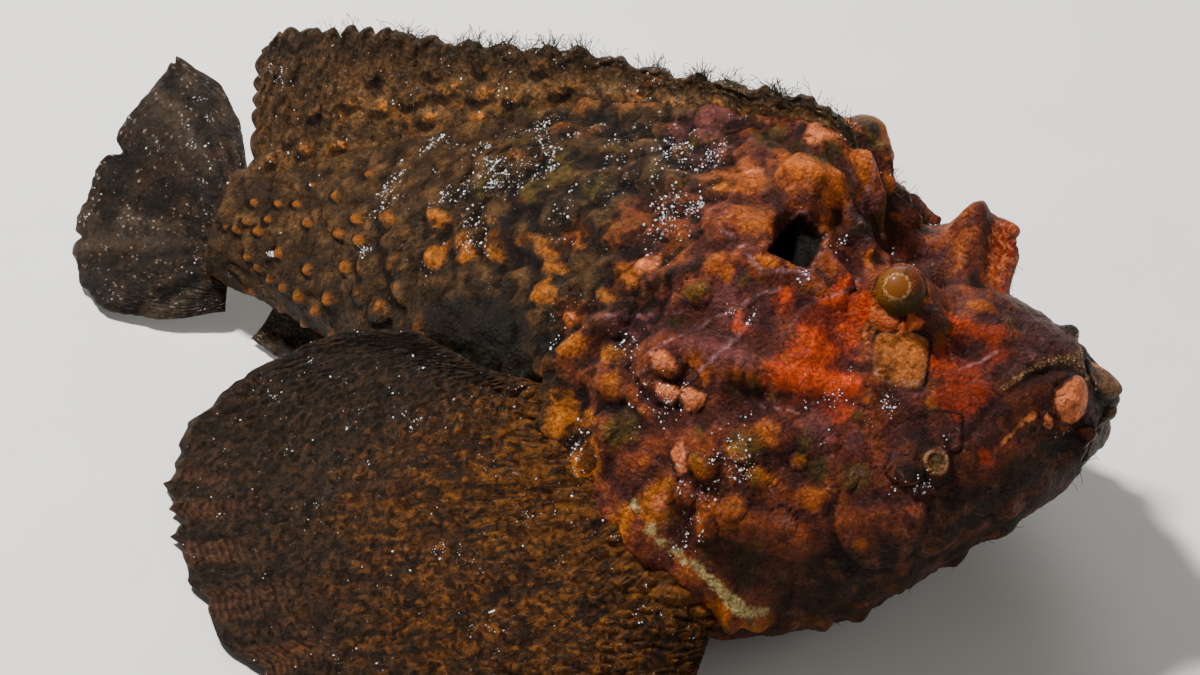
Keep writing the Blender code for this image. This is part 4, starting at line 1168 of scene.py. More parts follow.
@functools.lru_cache(maxsize=1)
def skin_material():
    """Wet skin of the head and body: tones laid over each other by ragged masks."""
    shades = Shades("stonefish_skin", broad=(6.0, 4, 0.6, 0.3), small=(2.0, 5, 0.65, 0.6),
                    tiny=(0.55, 4, 0.7))
    mask, step, calc, times, blend, paint, dye = shades.calls()
    broad, small, tiny = shades.noises.values()
    cavity, head, front, plate = mask("cavity"), mask("head"), mask("front"), mask("plate")

    def lay(name, low, high, strength, amount=0.9, colour=None, noise=small):
        """Paint where a mask is, with its edge broken up, in its own tone or another colour."""
        paint(colour or name, shades.ragged(mask(name), noise, amount, low, high), strength)

    def near_to(name, place, half, soft):
        """1 where a distance kept as an attribute is within half of a place, 0 from soft on."""
        return step(calc("ABSOLUTE", calc("SUBTRACT", mask(name), place)), soft, half)

    body = blend(step(broad, 0.42, 0.70), "umber", "brown")
    shades.base = blend(head, body, blend(step(broad, 0.40, 0.60), "maroon", "rust"))
    lay("rust", 0.30, 0.80, 0.80)
    lay("orange", 0.30, 0.95, 0.85)
    lay("red", 0.25, 0.80, 0.95)
    lay("lilac", 0.35, 0.80, 0.80)
    paint("lilac", step(cavity, 0.50, 0.30), head, 0.40)
    lay("gold", 0.40, 0.95, 0.80)
    # Painted shade on the snout and the lower cheek
    dye(step(mask("painted_face_shade"), 0.0, 1.0, 1.0, 0.40))
    lay("coral", 0.35, 0.75, 0.90)
    lay("olive", 0.35, 0.80, 0.75, 1.2)
    lay("wart", 0.25, 0.95, 0.90, 0.8, blend(step(small, 0.42, 0.60), "wart", "lobe"))
    lay("tan", 0.35, 0.70, 0.85)
    lay("line", 0.35, 0.95, 0.60, 0.7, "pale_lilac")
    mottled = blend(step(broad, 0.46, 0.60), "chin", "jaw_rust")
    mottled = blend(step(shades.noise(4.0, 4, 0.6, 0.5), 0.55, 0.66), mottled, "jaw_green")
    lay("under", 0.25, 0.85, 0.92, 1.2, mottled)
    lay("tip", 0.30, 0.60, 0.85)
    lay("black", 0.35, 0.85, 0.90, 1.3)
    lay("weedy", 0.35, 0.85, 0.90, 1.3, "jaw_green")
    lay("edge", 0.35, 0.80, 0.70)
    lay("gilt", 0.35, 0.95, 0.75, 1.2)
    lay("knob", 0.30, 0.80, 0.80, 1.0, blend(step(small, 0.42, 0.60), "red", "coral"))

    # A thin pale web and dark cracks
    web = shades.borders(7.0, shades.loosen(shades.place, 5.0, 5.0))
    paint("pale_lilac", step(web, 0.050, 0.012), step(broad, 0.46, 0.62, 0.0, 0.22), head)
    cracks = shades.borders(4.6, shades.loosen(shades.place, 4.0, 3.5))
    paint("black", step(cracks, 0.060, 0.015), step(small, 0.46, 0.60, 0.0, 0.70))

    # The plate below the eye, and the dark border of both plates
    blots = step(shades.noise(2.6, 4, 0.65, 0.6), 0.50, 0.68, 0.0, 0.55)
    corner = times(step(plate, 0.72, 0.92), step(small, 0.50, 0.60), 0.7)
    wavy_edge = calc("ADD", plate, step(small, 0.3, 0.7, -0.06, 0.06))
    colour = blend(corner, blend(blots, "tan", "plate_brown"), "plate_grey")
    paint(colour, step(wavy_edge, 1.04, 0.95), 0.92)
    border = calc("MAXIMUM", near_to("plate", 1.06, 0.03, 0.11),
                  near_to("small_plate", 1.05, 0.01, 0.09))
    paint("black", border, mask("border"), step(tiny, 0.36, 0.50),
          step(small, 0.34, 0.48, 0.5, 1.0))

    # The lips' dark band, the gape with painted shade in its crease, and its fringe, then the pit
    # with its pale rim and the rings
    paint("black", near_to("gape", -1.3, 0.7, 1.9), step(small, 0.40, 0.62, 0.05, 0.70), front)
    # Painted shade in the crease of the gape
    paint("black", near_to("gape", 0.0, 0.12, 0.5), step(small, 0.38, 0.56, 0.1, 0.9),
          step(mask("lips"), 0.0, 1.0, 0.15, 1.0))
    dots = step(shades.cells(0.9), 0.50, 0.25, 0.15, 0.9)
    paint("fringe", near_to("gape", 1.2, 0.25, 0.9), dots, front)
    paint("pale_lilac", near_to("pit", -0.5, 0.15, 0.45), step(small, 0.45, 0.6, 0.0, 0.6))
    paint("black", step(mask("pit"), -0.15, 0.15, 0.0, 0.98))
    lay("ring", 0.45, 0.85, 0.6, 0.5, "fringe", tiny)

    # Spots and grain, then painted shade in the hollows, painted highlight on the crests, and
    # painted shade behind the lumps
    paint("black", step(shades.noise(1.0, 4, 0.7, 1.0), 0.61, 0.66), 0.75)
    paint("umber", step(shades.noise(3.4, 4, 0.65, 0.8), 0.60, 0.72), 0.5)
    dye(step(small, 0.30, 0.70, 0.50, 1.45))
    dye(step(tiny, 0.30, 0.70, 0.80, 1.20))
    dye(step(cavity, 0.15, 0.52, 0.40, 1.0))
    dye(step(cavity, 0.60, 0.95, 1.0, 1.2))
    dye(step(mask("shade"), 0.12, 0.7, 1.0, 0.25))
    lay("fold", 0.10, 0.50, 0.85, 0.3, "lid")
    return shades.wet(0.6, (shades.noise(2.6, 5, 0.65), 1.1), (shades.cells(1.1), 0.35),
                      (tiny, 0.36))


def pectoral_material():
    """Thick wet fin skin: golden lobes at the root, then a thin golden net on dark brown cells."""
    shades = Shades("pectoral_skin", broad=(9.0, 4, 0.6), small=(2.2, 5, 0.65, 0.8),
                    tiny=(0.6, 4, 0.7))
    mask, step, calc, _, blend, paint, dye = shades.calls()
    broad, small, tiny = shades.noises.values()
    along, across = mask("along"), mask("across")
    sheet = shades.loosen(shades.sheet(190.0, 60.0), 1.6, 2.4)
    edge, fine = shades.borders(2.9, sheet), shades.borders(1.2, sheet)

    shades.base = blend(step(broad, 0.4, 0.6), "fin_brown", "fin_rust")
    paint("fin_gold", mask("stone"), step(small, 0.40, 0.60), 0.65)
    paint("fin_gold", step(edge, 0.16, 0.02), step(small, 0.38, 0.62),
          step(broad, 0.36, 0.60, 0.15, 1.0), 0.75)
    paint("fin_rust", step(fine, 0.14, 0.02), step(broad, 0.38, 0.62, 0.1, 0.6))
    paint("lobe", shades.ragged(step(along, 0.42, 0.04), small, 0.9, 0.35, 0.85), 0.65)
    paint("fin_black", step(shades.noise(3.4, 4, 0.65, 0.5), 0.54, 0.64), 0.65)
    streaks = shades.noise(2.4, 4, 0.65, 0.4, shades.loosen(shades.sheet(190.0, 30.0), 2.0, 3.0))
    paint("fin_black", step(streaks, 0.50, 0.60, 0.0, 0.8))

    past = calc("SUBTRACT", along, calc("MULTIPLY_ADD", across, 0.85, 0.20))
    past = calc("ADD", past, step(broad, 0.3, 0.7, -0.16, 0.16))
    paint(blend(step(small, 0.4, 0.65), "fin_black", "fin_dark"), step(past, -0.20, 0.22), 0.95)
    wavy = calc("MULTIPLY_ADD", along, 2 * math.pi * 62, calc("MULTIPLY", small, 5.0))
    stripes = step(calc("SINE", wavy), -0.4, 0.7, 0.25, 1.0)
    paint("fin_red", step(across, 0.33, 0.42), step(across, 0.80, 0.62), step(along, 0.76, 0.90),
          stripes, step(mask("hollow"), 0.25, 0.8), 0.38)
    paint("fleck", step(shades.noise(0.9, 2, 0.5), 0.68, 0.74), step(broad, 0.45, 0.6), 0.6)
    dye(step(small, 0.32, 0.68, 0.45, 1.6))
    dye(step(mask("lobe_seam"), 0.2, 0.9, 1.0, 0.72))
    return shades.wet(0.55, (step(edge, 0.0, 0.25, 1.0, 0.0), 0.10), (small, 1.3), (tiny, 0.45))


def dorsal_material():
    """Fin skin of the back: brown, black along the top and at the rear, with pale lumps."""
    shades = Shades("dorsal_skin", broad=(7.0, 4, 0.6), small=(2.0, 5, 0.65, 0.8),
                    tiny=(0.6, 4, 0.7))
    mask, step, calc, times, blend, paint, dye = shades.calls()
    broad, small, tiny = shades.noises.values()
    along = mask("along")
    shades.base = blend(step(broad, 0.38, 0.62), "umber", "brown")
    paint("lobe", step(shades.noise(5.0, 4, 0.65, 0.5), 0.52, 0.66, 0.0, 0.6),
          step(along, 0.75, 0.45))
    scale = times(mask("scale"), step(broad, 0.38, 0.6, 0.1, 0.75))
    scale = shades.ragged(scale, small, 0.9, 0.20, 0.90)
    paint(blend(step(small, 0.42, 0.58), "lobe", "wart"), scale)
    top = step(calc("ADD", along, step(broad, 0.3, 0.7, -0.18, 0.18)), 0.62, 0.88, 0.0, 1.25)
    rear = step(calc("ADD", mask("edge"), step(broad, 0.3, 0.7, -0.2, 0.2)), 0.30, 0.75)
    night = blend(step(small, 0.42, 0.66), "fin_black", "fin_dark")
    paint(night, calc("MAXIMUM", top, rear), 0.60)
    paint("fleck", step(shades.noise(0.9, 2, 0.5), 0.69, 0.75), 0.5)
    paint("black", step(shades.noise(1.6, 4, 0.7, 0.8), 0.56, 0.64, 0.0, 0.75))
    dye(step(small, 0.3, 0.7, 0.55, 2.1))
    dye(step(mask("shade"), 0.1, 0.8, 1.0, 0.25))
    return shades.wet(0.55, (small, 0.6), (shades.cells(1.2), 0.2), (tiny, 0.22))


def tail_fin_material():
    """Fin skin of the tail and anal fins: nearly black, with greyish bands and rows of flecks."""
    shades = Shades("tail_fin_skin", broad=(8.0, 4, 0.6), small=(2.0, 5, 0.65, 0.8),
                    tiny=(0.6, 4, 0.7))
    mask, step, calc, _, blend, paint, dye = shades.calls()
    broad, small, tiny = shades.noises.values()
    along = mask("along")
    shades.base = blend(step(broad, 0.40, 0.62), "fin_black", "fin_dark")
    swing = calc("MULTIPLY_ADD", mask("across"), 2 * math.pi * 3.1, calc("MULTIPLY", broad, 5.0))
    paint("tail_grey", step(calc("SINE", swing), 0.1, 0.95), step(along, 0.15, 0.5), 0.5)
    paint("fin_rust", shades.ragged(step(along, 0.35, 0.0), small, 1.0, 0.4, 0.9), 0.5)
    spots = shades.cells(1.7, shades.sheet(90.0, 45.0))
    paint("fleck", step(spots, 0.26, 0.16), step(broad, 0.42, 0.6), 0.6)
    dye(step(small, 0.3, 0.7, 0.5, 1.45))
    # Painted shade in the hollows between the rays
    dye(step(mask("hollow"), 0.3, 1.0, 1.0, 0.65))
    return shades.wet(0.55, (small, 0.6), (shades.cells(1.2), 0.3), (tiny, 0.22))


def eye_material():
    """Clear wet eye: small amber disc, a pale dotted ring and an olive rim with fine rays."""
    shades = Shades("stonefish_eye", broad=(2.5, 3, 0.6), small=(0.7, 4, 0.65))
    mask, step, calc, times, blend, paint, dye = shades.calls()
    broad, small = shades.noises.values()
    reach, aside, above = mask("reach"), mask("aside"), mask("above")
    low_front = calc("SUBTRACT", aside, above)
    shades.base = blend(step(broad, 0.38, 0.62), "eye_rim", "eye_ray")
    shaken = calc("ADD", calc("ADD", aside, above), step(small, 0.3, 0.7, -0.3, 0.3))
    paint("eye_brown", step(shaken, 0.15, 0.80, 0.0, 0.95))
    shaken = calc("ADD", low_front, step(small, 0.3, 0.7, -0.35, 0.35))
    paint("eye_olive", step(shaken, 0.55, 1.0, 0.0, 0.9))
    dots = times(step(shades.cells(0.55), 0.32, 0.18), step(low_front, -0.9, 0.4, 0.4, 0.9))
    paint("eye_ring", step(reach, 0.27, 0.33), step(reach, 0.62, 0.42), dots)
    paint("eye_ring", step(reach, 0.27, 0.30), step(reach, 0.40, 0.34),
          step(small, 0.38, 0.60, 0.15, 0.9))
    paint(blend(step(small, 0.4, 0.6), "eye_disc", "eye_rim"), step(reach, 0.29, 0.25))
    slit = calc("ABSOLUTE", calc("SUBTRACT", aside, 0.16))
    paint("eye_olive", step(slit, 0.10, 0.03), step(above, 0.45, 0.55), 0.8)
    dye(step(small, 0.3, 0.7, 0.65, 1.3))
    return shades.surface(Roughness=0.5, Specular_IOR_Level=0.06, Coat_Weight=0.05,
                          Coat_Roughness=0.12)


def plain_material(name, colour, roughness, size=1.0, spread=0.4):
    """Small growth or grain of one colour with a little variation."""
    shades = Shades(name)
    low = [tone * (1 - spread) for tone in colour]
    high = [min(1.0, tone * (1 + spread)) for tone in colour]
    shades.base = shades.blend(shades.step(shades.noise(size, 2, 0.5), 0.35, 0.65), low, high)
    return shades.surface(Roughness=roughness, Specular_IOR_Level=0.25)


# ---------------------------------------------------------------- scattering by Geometry Nodes

def filament_shape(nodes, sizes):
    """A thin bent hair along +Z, one high."""
    bend = nodes.make("GeometryNodeCurveQuadraticBezier", {
        "Resolution": 5, "Start": (0, 0, -0.1), "Middle": (0.05, 0.05, 0.6),
        "End": (0.45, 0.1, 1.0)})
    taper = nodes.make("ShaderNodeMapRange", {
        "Value": nodes.make("GeometryNodeSplineParameter"), "To Min": 1.0, "To Max": 0.25})
    curve = nodes.make("GeometryNodeSetCurveRadius", {"Curve": bend, "Radius": taper})
    ring = nodes.make("GeometryNodeCurvePrimitiveCircle", {
        "Resolution": 4, "Radius": sizes["Breadth"]})
    return nodes.make("GeometryNodeCurveToMesh", {
        "Curve": curve, "Profile Curve": ring, "Fill Caps": True})


def grain_shape(nodes, sizes):
    """A small rounded grain."""
    return nodes.make("GeometryNodeMeshIcoSphere", {"Subdivisions": 1, "Radius": sizes["Breadth"]})


def cone_shape(nodes, sizes):
    """A blunt cone along +Z with its foot sunk in."""
    return nodes.make("GeometryNodeMeshCone", {
        "Vertices": 8, "Side Segments": 3, "Radius Top": 0.12, "Radius Bottom": sizes["Breadth"],
        "Depth": sizes["Height"]})


def scatter_tree(name, shape, material):
    """Tree that sets a shape on each point, turned to its out and scaled by its size."""
    tree = bpy.data.node_groups.new(name, "GeometryNodeTree")
    for key, way, kind in (("Geometry", "INPUT", "Geometry"), ("Height", "INPUT", "Float"),
                           ("Breadth", "INPUT", "Float"), ("Wander", "INPUT", "Float"),
                           ("Geometry", "OUTPUT", "Geometry")):
        tree.interface.new_socket(key, in_out=way, socket_type="NodeSocket" + kind)
    nodes = Nodes(tree)
    start = tree.nodes.new("NodeGroupInput").outputs

    def field(key, kind):
        """Attribute kept on the points."""
        return nodes.make("GeometryNodeInputNamedAttribute", {"Name": key}, "Attribute",
                          data_type=kind)

    align = nodes.make("FunctionNodeAlignRotationToVector", {
        "Vector": field("out", "FLOAT_VECTOR")}, axis="Z")
    spin = nodes.make("FunctionNodeAxisAngleToRotation", {
        "Axis": (0, 0, 1), "Angle": field("turn", "FLOAT")})
    turned = nodes.make("FunctionNodeRotateRotation", {"Rotation": align, "Rotate By": spin},
                        rotation_space="LOCAL")
    pieces = nodes.make("GeometryNodeInstanceOnPoints", {
        "Points": start["Geometry"], "Instance": shape(nodes, start), "Rotation": turned,
        "Scale": field("size", "FLOAT_VECTOR")})
    real = nodes.make("GeometryNodeRealizeInstances", {"Geometry": pieces})
    noise = nodes.make("ShaderNodeTexNoise", {"Scale": 350.0}, "Color")
    noise = nodes.make("ShaderNodeVectorMath", {0: noise, 1: [0.5] * 3}, operation="SUBTRACT")
    offset = nodes.make("ShaderNodeVectorMath", {0: noise, "Scale": start["Wander"]},
                        operation="SCALE")
    moved = nodes.make("GeometryNodeSetPosition", {"Geometry": real, "Offset": offset})
    painted = nodes.make("GeometryNodeSetMaterial", {"Geometry": moved, "Material": material})
    nodes.plug(tree.nodes.new("NodeGroupOutput").inputs["Geometry"], painted)
    return tree


def scatter(name, shape, places, outs, sizes, material, slot, height=1.0, breadth=1.0, wander=0.0):
    """Like small pieces on the given places (millimetres), made one plain mesh."""
    count = len(places)
    rng = np.random.default_rng(count + SEED)
    mesh = bpy.data.meshes.new(name)
    mesh.from_pydata((places * MM).tolist(), [], [])
    sizes = np.broadcast_to(np.asarray(sizes).reshape(count, -1), (count, 3))
    add_attribute(mesh, "out", outs)
    add_attribute(mesh, "size", sizes * MM)
    add_attribute(mesh, "turn", rng.uniform(0, 2 * math.pi, count))
    obj = link_object(name, mesh)
    modifier = obj.modifiers.new("scatter", "NODES")
    modifier.node_group = scatter_tree(name, shape, material)
    values = {"Height": height, "Breadth": breadth, "Wander": wander * MM}
    for item in modifier.node_group.interface.items_tree:
        if item.in_out == "INPUT" and item.name in values:
            modifier[item.identifier] = values[item.name]
    graph = bpy.context.evaluated_depsgraph_get()
    finished = bpy.data.meshes.new_from_object(obj.evaluated_get(graph))
    obj.modifiers.clear()
    obj.data = finished
    bpy.data.meshes.remove(mesh)
    obj.data.shade_smooth()
    finish_piece(obj, material, slot)


def skin_sample(count, weight, seed, spread=0.0):
    """Random places on the skin, more where weight is high, gathered in clusters of the spread."""
    points = skin_grid()[0]
    down = np.gradient(points, axis=0)
    across = np.roll(points, -1, axis=1) - np.roll(points, 1, axis=1)
    out = np.cross(across, down)
    area = np.linalg.norm(out, axis=-1)
    out = out / np.maximum(area[..., None], 1e-9)
    if ((points - points.mean(axis=1, keepdims=True)) * out).sum() < 0:
        out = -out
    chance = (area * weight).ravel()
    rng = np.random.default_rng(seed)
    picks = rng.choice(chance.size, count, replace=False, p=chance / chance.sum())
    if spread:
        clusters = count // CLUSTER_GRAINS
        parent = (clusters * rng.uniform(0, 1, count) ** 1.6).astype(int)
        reach = spread * rng.lognormal(0, 0.5, clusters)[parent][:, None]
        steps = np.round(reach * rng.normal(0, 1, (count, 2)) / CLUSTER_STEPS).astype(int)
        row, col = np.unravel_index(picks[parent], area.shape)
        row = np.clip(row + steps[:, 0], 0, area.shape[0] - 1)
        picks = row * area.shape[1] + (col + steps[:, 1]) % area.shape[1]
    jitter = rng.uniform(-0.5, 0.5, (count, 2, 1))
    points, down, across, out = (
        grid.reshape(-1, 3)[picks] for grid in (points, down, across, out))
    return points + down * jitter[:, 0] + across / 2 * jitter[:, 1], out


def fin_sample(count, seed):
    """Random places in clumps on the fins' upper sides, with their outward directions."""
    columns = []
    for name in FINS_WITH_GRAINS:
        polygons = bpy.data.objects[name].data.polygons
        values = [np.empty((len(polygons), size)) for size in (3, 3, 1)]
        for key, column in zip(("center", "normal", "area"), values):
            polygons.foreach_get(key, column.ravel())
        centre, normal, area = values
        centre /= MM
        clump = ease(soft_noise(centre, 7.0, seed), 0.1, 0.6)
        clump = (clump * ease(soft_noise(centre, 2.0, seed + 1), 0.1, 0.5)) ** 1.5
        columns.append((centre, normal, area[:, 0] * (0.01 + clump) * (normal[:, 2] > 0.1)))
    centres, normals, chance = (np.concatenate(column) for column in zip(*columns))
    rng = np.random.default_rng(seed)
    picks = rng.choice(len(chance), count, replace=False, p=chance / chance.sum())
    return centres[picks], normals[picks]


# ---------------------------------------------------------------- fins

def fine_plate(name, middle, thick, attributes):
    """Closed plate round a fine grid of points, its rim rounded off, kept above the ground."""
    rows, cols = thick.shape
    normal = np.cross(np.gradient(middle, axis=0), np.gradient(middle, axis=1))
    normal /= np.maximum(np.linalg.norm(normal, axis=-1, keepdims=True), 1e-9)
    half = normal * thick[..., None] / 2
    verts = np.concatenate([(middle + half).reshape(-1, 3), (middle - half).reshape(-1, 3)])
    verts[:, 2] = np.maximum(verts[:, 2], FIN_CLEAR)
    count = rows * cols
    faces = []
    for i, j in itertools.product(range(rows - 1), range(cols - 1)):
        a, b = i * cols + j, (i + 1) * cols + j
        faces.append((a, b, b + 1, a + 1))
        faces.append((a + count, a + 1 + count, b + 1 + count, b + count))
    rim = [i * cols for i in range(rows)] + [(rows - 1) * cols + j for j in range(1, cols)]
    rim += [i * cols + cols - 1 for i in range(rows - 2, -1, -1)] + list(range(cols - 2, 0, -1))
    faces += [(a, a + count, b + count, b) for a, b in zip(rim, rim[1:] + rim[:1])]
    return new_mesh_object(name, verts, faces, {
        key: np.tile(np.broadcast_to(values, thick.shape).ravel(), 2)
        for key, values in attributes.items()})


def rim_round(rows, cols, reach):
    """Thickness factor that falls off in a round at the tips and at both sides of a fin."""
    t = np.linspace(0, 1, rows)[:, None]
    u = np.linspace(0, 1, cols)[None, :]
    end = np.clip((1 - t) / reach, 0, 1)
    side = np.clip(np.minimum(u, 1 - u) / (reach * 0.5), 0, 1)
    return np.sqrt(np.clip(1 - (1 - end) ** 2, 0.02, 1) * np.clip(1 - (1 - side) ** 2, 0.02, 1))


def on_rays(place):
    """1 on each ray, 0 midway between two, for places counted in rays."""
    return 0.5 + 0.5 * np.cos(2 * np.pi * place)


def along_edge(place):
    """Places for a noise that runs along an edge."""
    return np.stack([place, 0 * place, 0 * place], -1)


def fan_fin(name, paths, rays, rows, thick, relief, lobes=(8.0, 0.0, 0.3), notches=()):
    """Fan of rays from root to tips, each an arched path over two points, with its relief."""
    root, first, second, tips = paths
    size, height, ray_height, scallop = relief
    lobe_size, lobe_height, lobe_reach = lobes
    cols = len(root)
    across = np.linspace(0, 1, cols)
    on_ray = on_rays(across * (rays - 1))
    edge = along_edge(across * 240)
    ragged = 0.5 * soft_noise(edge, 7.0, SEED + 30) + 0.35 * soft_noise(edge, 2.2, SEED + 31)
    notch = scallop / 60.0 * (0.6 * (1 - on_ray) + ragged + 0.7)
    for place, breadth, depth in notches:
        notch = notch + depth * bell(across - place, breadth)
    t = np.linspace(0, 1, rows)[:, None, None]
    reach = t - notch[None, :, None] * t ** 3
    middle = (root * (1 - reach) ** 3 + first * 3 * reach * (1 - reach) ** 2
              + second * 3 * reach ** 2 * (1 - reach) + tips * reach ** 3)
    depth = t[..., 0]
    plate = thick[0] + (thick[1] - thick[0]) * np.minimum(1, depth * 1.6)
    plate = plate + ray_height * (2 * on_ray[None, :] - 1.0) * np.minimum(1, depth * 3)
    sheet = laid_flat(middle, cols // 2, 1.2)
    stone = lumps(sheet, size, 0.7, SEED + 40)[0]
    lobe, _, seam = lumps(sheet * (0.85, 1.0), lobe_size, 0.95, SEED + 44)
    near_root = ease(depth, lobe_reach, lobe_reach * 0.3)
    plate = plate + height * (stone - 0.5) + 0.35 * soft_noise(middle, 2.5, SEED + 41)
    plate = plate + lobe_height * near_root * (lobe - 0.2)
    plate = np.maximum(plate, 0.35) * rim_round(rows, cols, 0.05)
    return fine_plate(name, middle, plate, {
        "along": depth, "across": across, "hollow": 1 - on_ray, "stone": stone,
        "lobe_seam": (1 - ease(seam, 0, 0.3)) * near_root * (lobe_height > 0)})


def pectoral_fin(name, side, tips):
    """Pectoral fin from its long root on the flank, over and down to the ground."""
    rows, cols = PECTORAL_GRID
    across = np.linspace(0, 1, cols)
    line = smooth_path(PECTORAL_ROOT, across)
    skin, out = skin_point(line[:, 0], -side * line[:, 1])
    root = pose(skin - out * PECTORAL_SINK)
    outwards = pose(skin + out) - pose(skin)
    outwards /= np.linalg.norm(outwards, axis=1, keepdims=True)
    tips = smooth_path(tips, across) + SHIFT
    level = (tips - root) * np.array([1, 1, 0])
    first = root + outwards * (16 - 11 * across[:, None] ** 3) + level * 0.16
    first[:, 2] = root[:, 2] + 4 - 22 * across ** 2
    second = tips - level * 0.36
    second[:, 2] = tips[:, 2] + 0.22 * (root[:, 2] - tips[:, 2])
    return fan_fin(name, (root, first, second, tips), PECTORAL_RAYS, rows, PECTORAL_THICK,
                   PECTORAL_RELIEF, ROOT_LOBES, PECTORAL_NOTCHES)


def dorsal_fin():
    """Dorsal fin: thirteen spines in thick skin, then seven soft rays."""
    rows, spiny_cols, soft_cols = DORSAL_GRID
    spiny = np.linspace(DORSAL_START, DORSAL_JOINT, spiny_cols)
    soft = np.linspace(DORSAL_JOINT, DORSAL_END, soft_cols)[1:]
    s = np.concatenate([spiny, soft])
    on_ray = on_rays(np.concatenate([
        (spiny - DORSAL_START) / (DORSAL_JOINT - DORSAL_START) * (DORSAL_SPINES - 1),
        (soft - DORSAL_JOINT) / (DORSAL_END - DORSAL_JOINT) * (DORSAL_SOFT_RAYS - 1)]))
    height = smooth_line(*np.array(DORSAL_HEIGHT, float).T, s)
    jagged = 0.8 * soft_noise(along_edge(s), 6.0, SEED + 50)
    jagged += 0.7 * soft_noise(along_edge(s), 1.6, SEED + 53)
    bubbly = np.abs(np.sin(s * 0.62 + 0.6 * np.sin(s * 0.21))) * ease(s, 190, 205)
    height = height - np.minimum(1.4, 0.12 * height) * (1 - on_ray) * ease(s, 205, 190)
    height = height + jagged + 1.3 * bubbly - 1.0 - 3.2 * bell(s - DORSAL_NOTCH, 1.2)
    t = np.linspace(0, 1, rows)[:, None]
    z = section(s, 0 * s)[:, 2] - DORSAL_SINK + (height + DORSAL_SINK) * t
    behind = np.clip((s - DORSAL_JOINT) / (DORSAL_END - DORSAL_JOINT), 0, 1)
    sweep = (DORSAL_SWEEP + DORSAL_TAIL_SWEEP * behind ** 2) * t ** 1.5
    rear_edge = np.abs(np.sin(t * 22 + 0.8 * np.sin(t * 9))) * 1.8 - 1.8 - 2.5 * t ** 4
    sweep = sweep + rear_edge * ease(s, DORSAL_END - 9, DORSAL_END)
    upright = np.stack([s + sweep, 1.3 * np.sin(s / 9.0) * t, z], -1)
    sheet = laid_flat(upright, len(s) // 2, 1.2)
    edge = ease(s, 206, 226) * (0.25 + 0.75 * ease(t, 0.15, 0.6))
    edge = np.maximum(ease(t, 0.72, 0.95) + 0 * s, edge)
    scale, shade = np.zeros((2, *z.shape))
    uneven = 0.15 * soft_noise(upright, 3.0, SEED + 56)
    for scale_s, scale_t, length in DORSAL_SCALES:
        back = (upright[..., 0] - scale_s) / length + uneven
        up = (t - scale_t) * (height + DORSAL_SINK)
        rise = mound(np.hypot(back, up / 3.4), 1.0)
        shadow = mound(np.hypot(back - 0.12, (up + 1.3) / 3.4), 1.0)
        scale = np.maximum(scale, rise)
        shade = np.maximum(shade, 2.2 * (shadow - rise))
    thick = DORSAL_THICK[0] + (DORSAL_THICK[1] - DORSAL_THICK[0]) * t ** 0.7
    thick = thick + 0.3 * (2 * on_ray[None, :] - 1) * np.minimum(1, t * 2)
    stone = lumps(sheet, 3.6, 0.8, SEED + 51)[0]
    grain = lumps(sheet, 1.9, 0.6, SEED + 54)[0]
    thick = thick + (1.8 * stone * edge + 1.5 * scale + 0.3 * grain) * ease(t, 0.0, 0.2)
    thick = thick + 0.5 * soft_noise(upright, 5.0, SEED + 55)
    thick = np.maximum(thick, 0.5) * rim_round(rows, len(s), 0.06)
    middle = pose(upright)
    return middle, fine_plate("dorsal_fin_skin", middle, thick, {
        "along": t, "scale": scale, "shade": np.clip(shade, 0, 1), "edge": edge})


def caudal_fin():
    """Tail fin, twisted over until its lower edge lies on the ground."""
    rows, cols = CAUDAL_GRID
    across = np.linspace(0, 1, cols)
    tips = smooth_path(CAUDAL_TIPS, across) + SHIFT
    root = smooth_path(CAUDAL_ROOT, across) + SHIFT + np.array([3.0, 0, 0])
    run = tips - root
    second = root + run * 0.7 + np.array([0, 0, 2.0])
    return fan_fin("caudal_fin_skin", (root, root + run * 0.3, second, tips), CAUDAL_RAYS, rows,
                   CAUDAL_THICK, CAUDAL_RELIEF, notches=CAUDAL_NOTCHES)


def anal_fin():
    """Anal fin, folded over where the tail lies low."""
    rows, cols = ANAL_GRID
    across = np.linspace(0, 1, cols)
    s = ANAL_SPAN[0] + (ANAL_SPAN[1] - ANAL_SPAN[0]) * across
    root = pose(section(s, 0 * s + math.pi)) + np.array([0, 0, 3.0])
    depth = ANAL_DEPTH[0] + (ANAL_DEPTH[1] - ANAL_DEPTH[0]) * np.sin(across * math.pi * 0.75)
    drop = root[:, 2] - (FLOOR_CLEAR + ANAL_THICK[1] / 2 + 0.4)
    aside = np.sqrt(np.maximum(depth ** 2 - drop ** 2, 4.0))
    run = np.stack([-2.0 - 3.0 * across, -aside, -drop], -1)
    paths = (root, root + run * (0.3, 0.1, 0.45), root + run * (0.65, 0.5, 0.9), root + run)
    return fan_fin("anal_fin_skin", paths, ANAL_RAYS, rows, ANAL_THICK, SMALL_FIN_RELIEF)


def pelvic_fin(name, side):
    """Pelvic fin spread on the ground beside the belly."""
    rows, cols = PELVIC_GRID
    across = np.linspace(0, 1, cols)
    s = PELVIC_ROOT_S[1] + (PELVIC_ROOT_S[0] - PELVIC_ROOT_S[1]) * across
    root = pose(np.stack([s, side * PELVIC_ROOT_Y + 0 * s, PELVIC_ROOT_Z + 0 * s], -1))
    tips = smooth_path(PELVIC_TIPS, across) * np.array([1, side, 1]) + SHIFT
    run = tips - root
    paths = (root, root + run * (0.35, 0.4, 0.2), root + run * (0.7, 0.7, 0.85), tips)
    return fan_fin(name, paths, PELVIC_RAYS, rows, PELVIC_THICK, SMALL_FIN_RELIEF)


# ---------------------------------------------------------------- settings

def tone(name, colour, description):
    """Colour property with its default."""
    return FloatVectorProperty(name=name, description=description, default=colour, subtype="COLOR",
                               size=3, min=0.0, max=1.0)


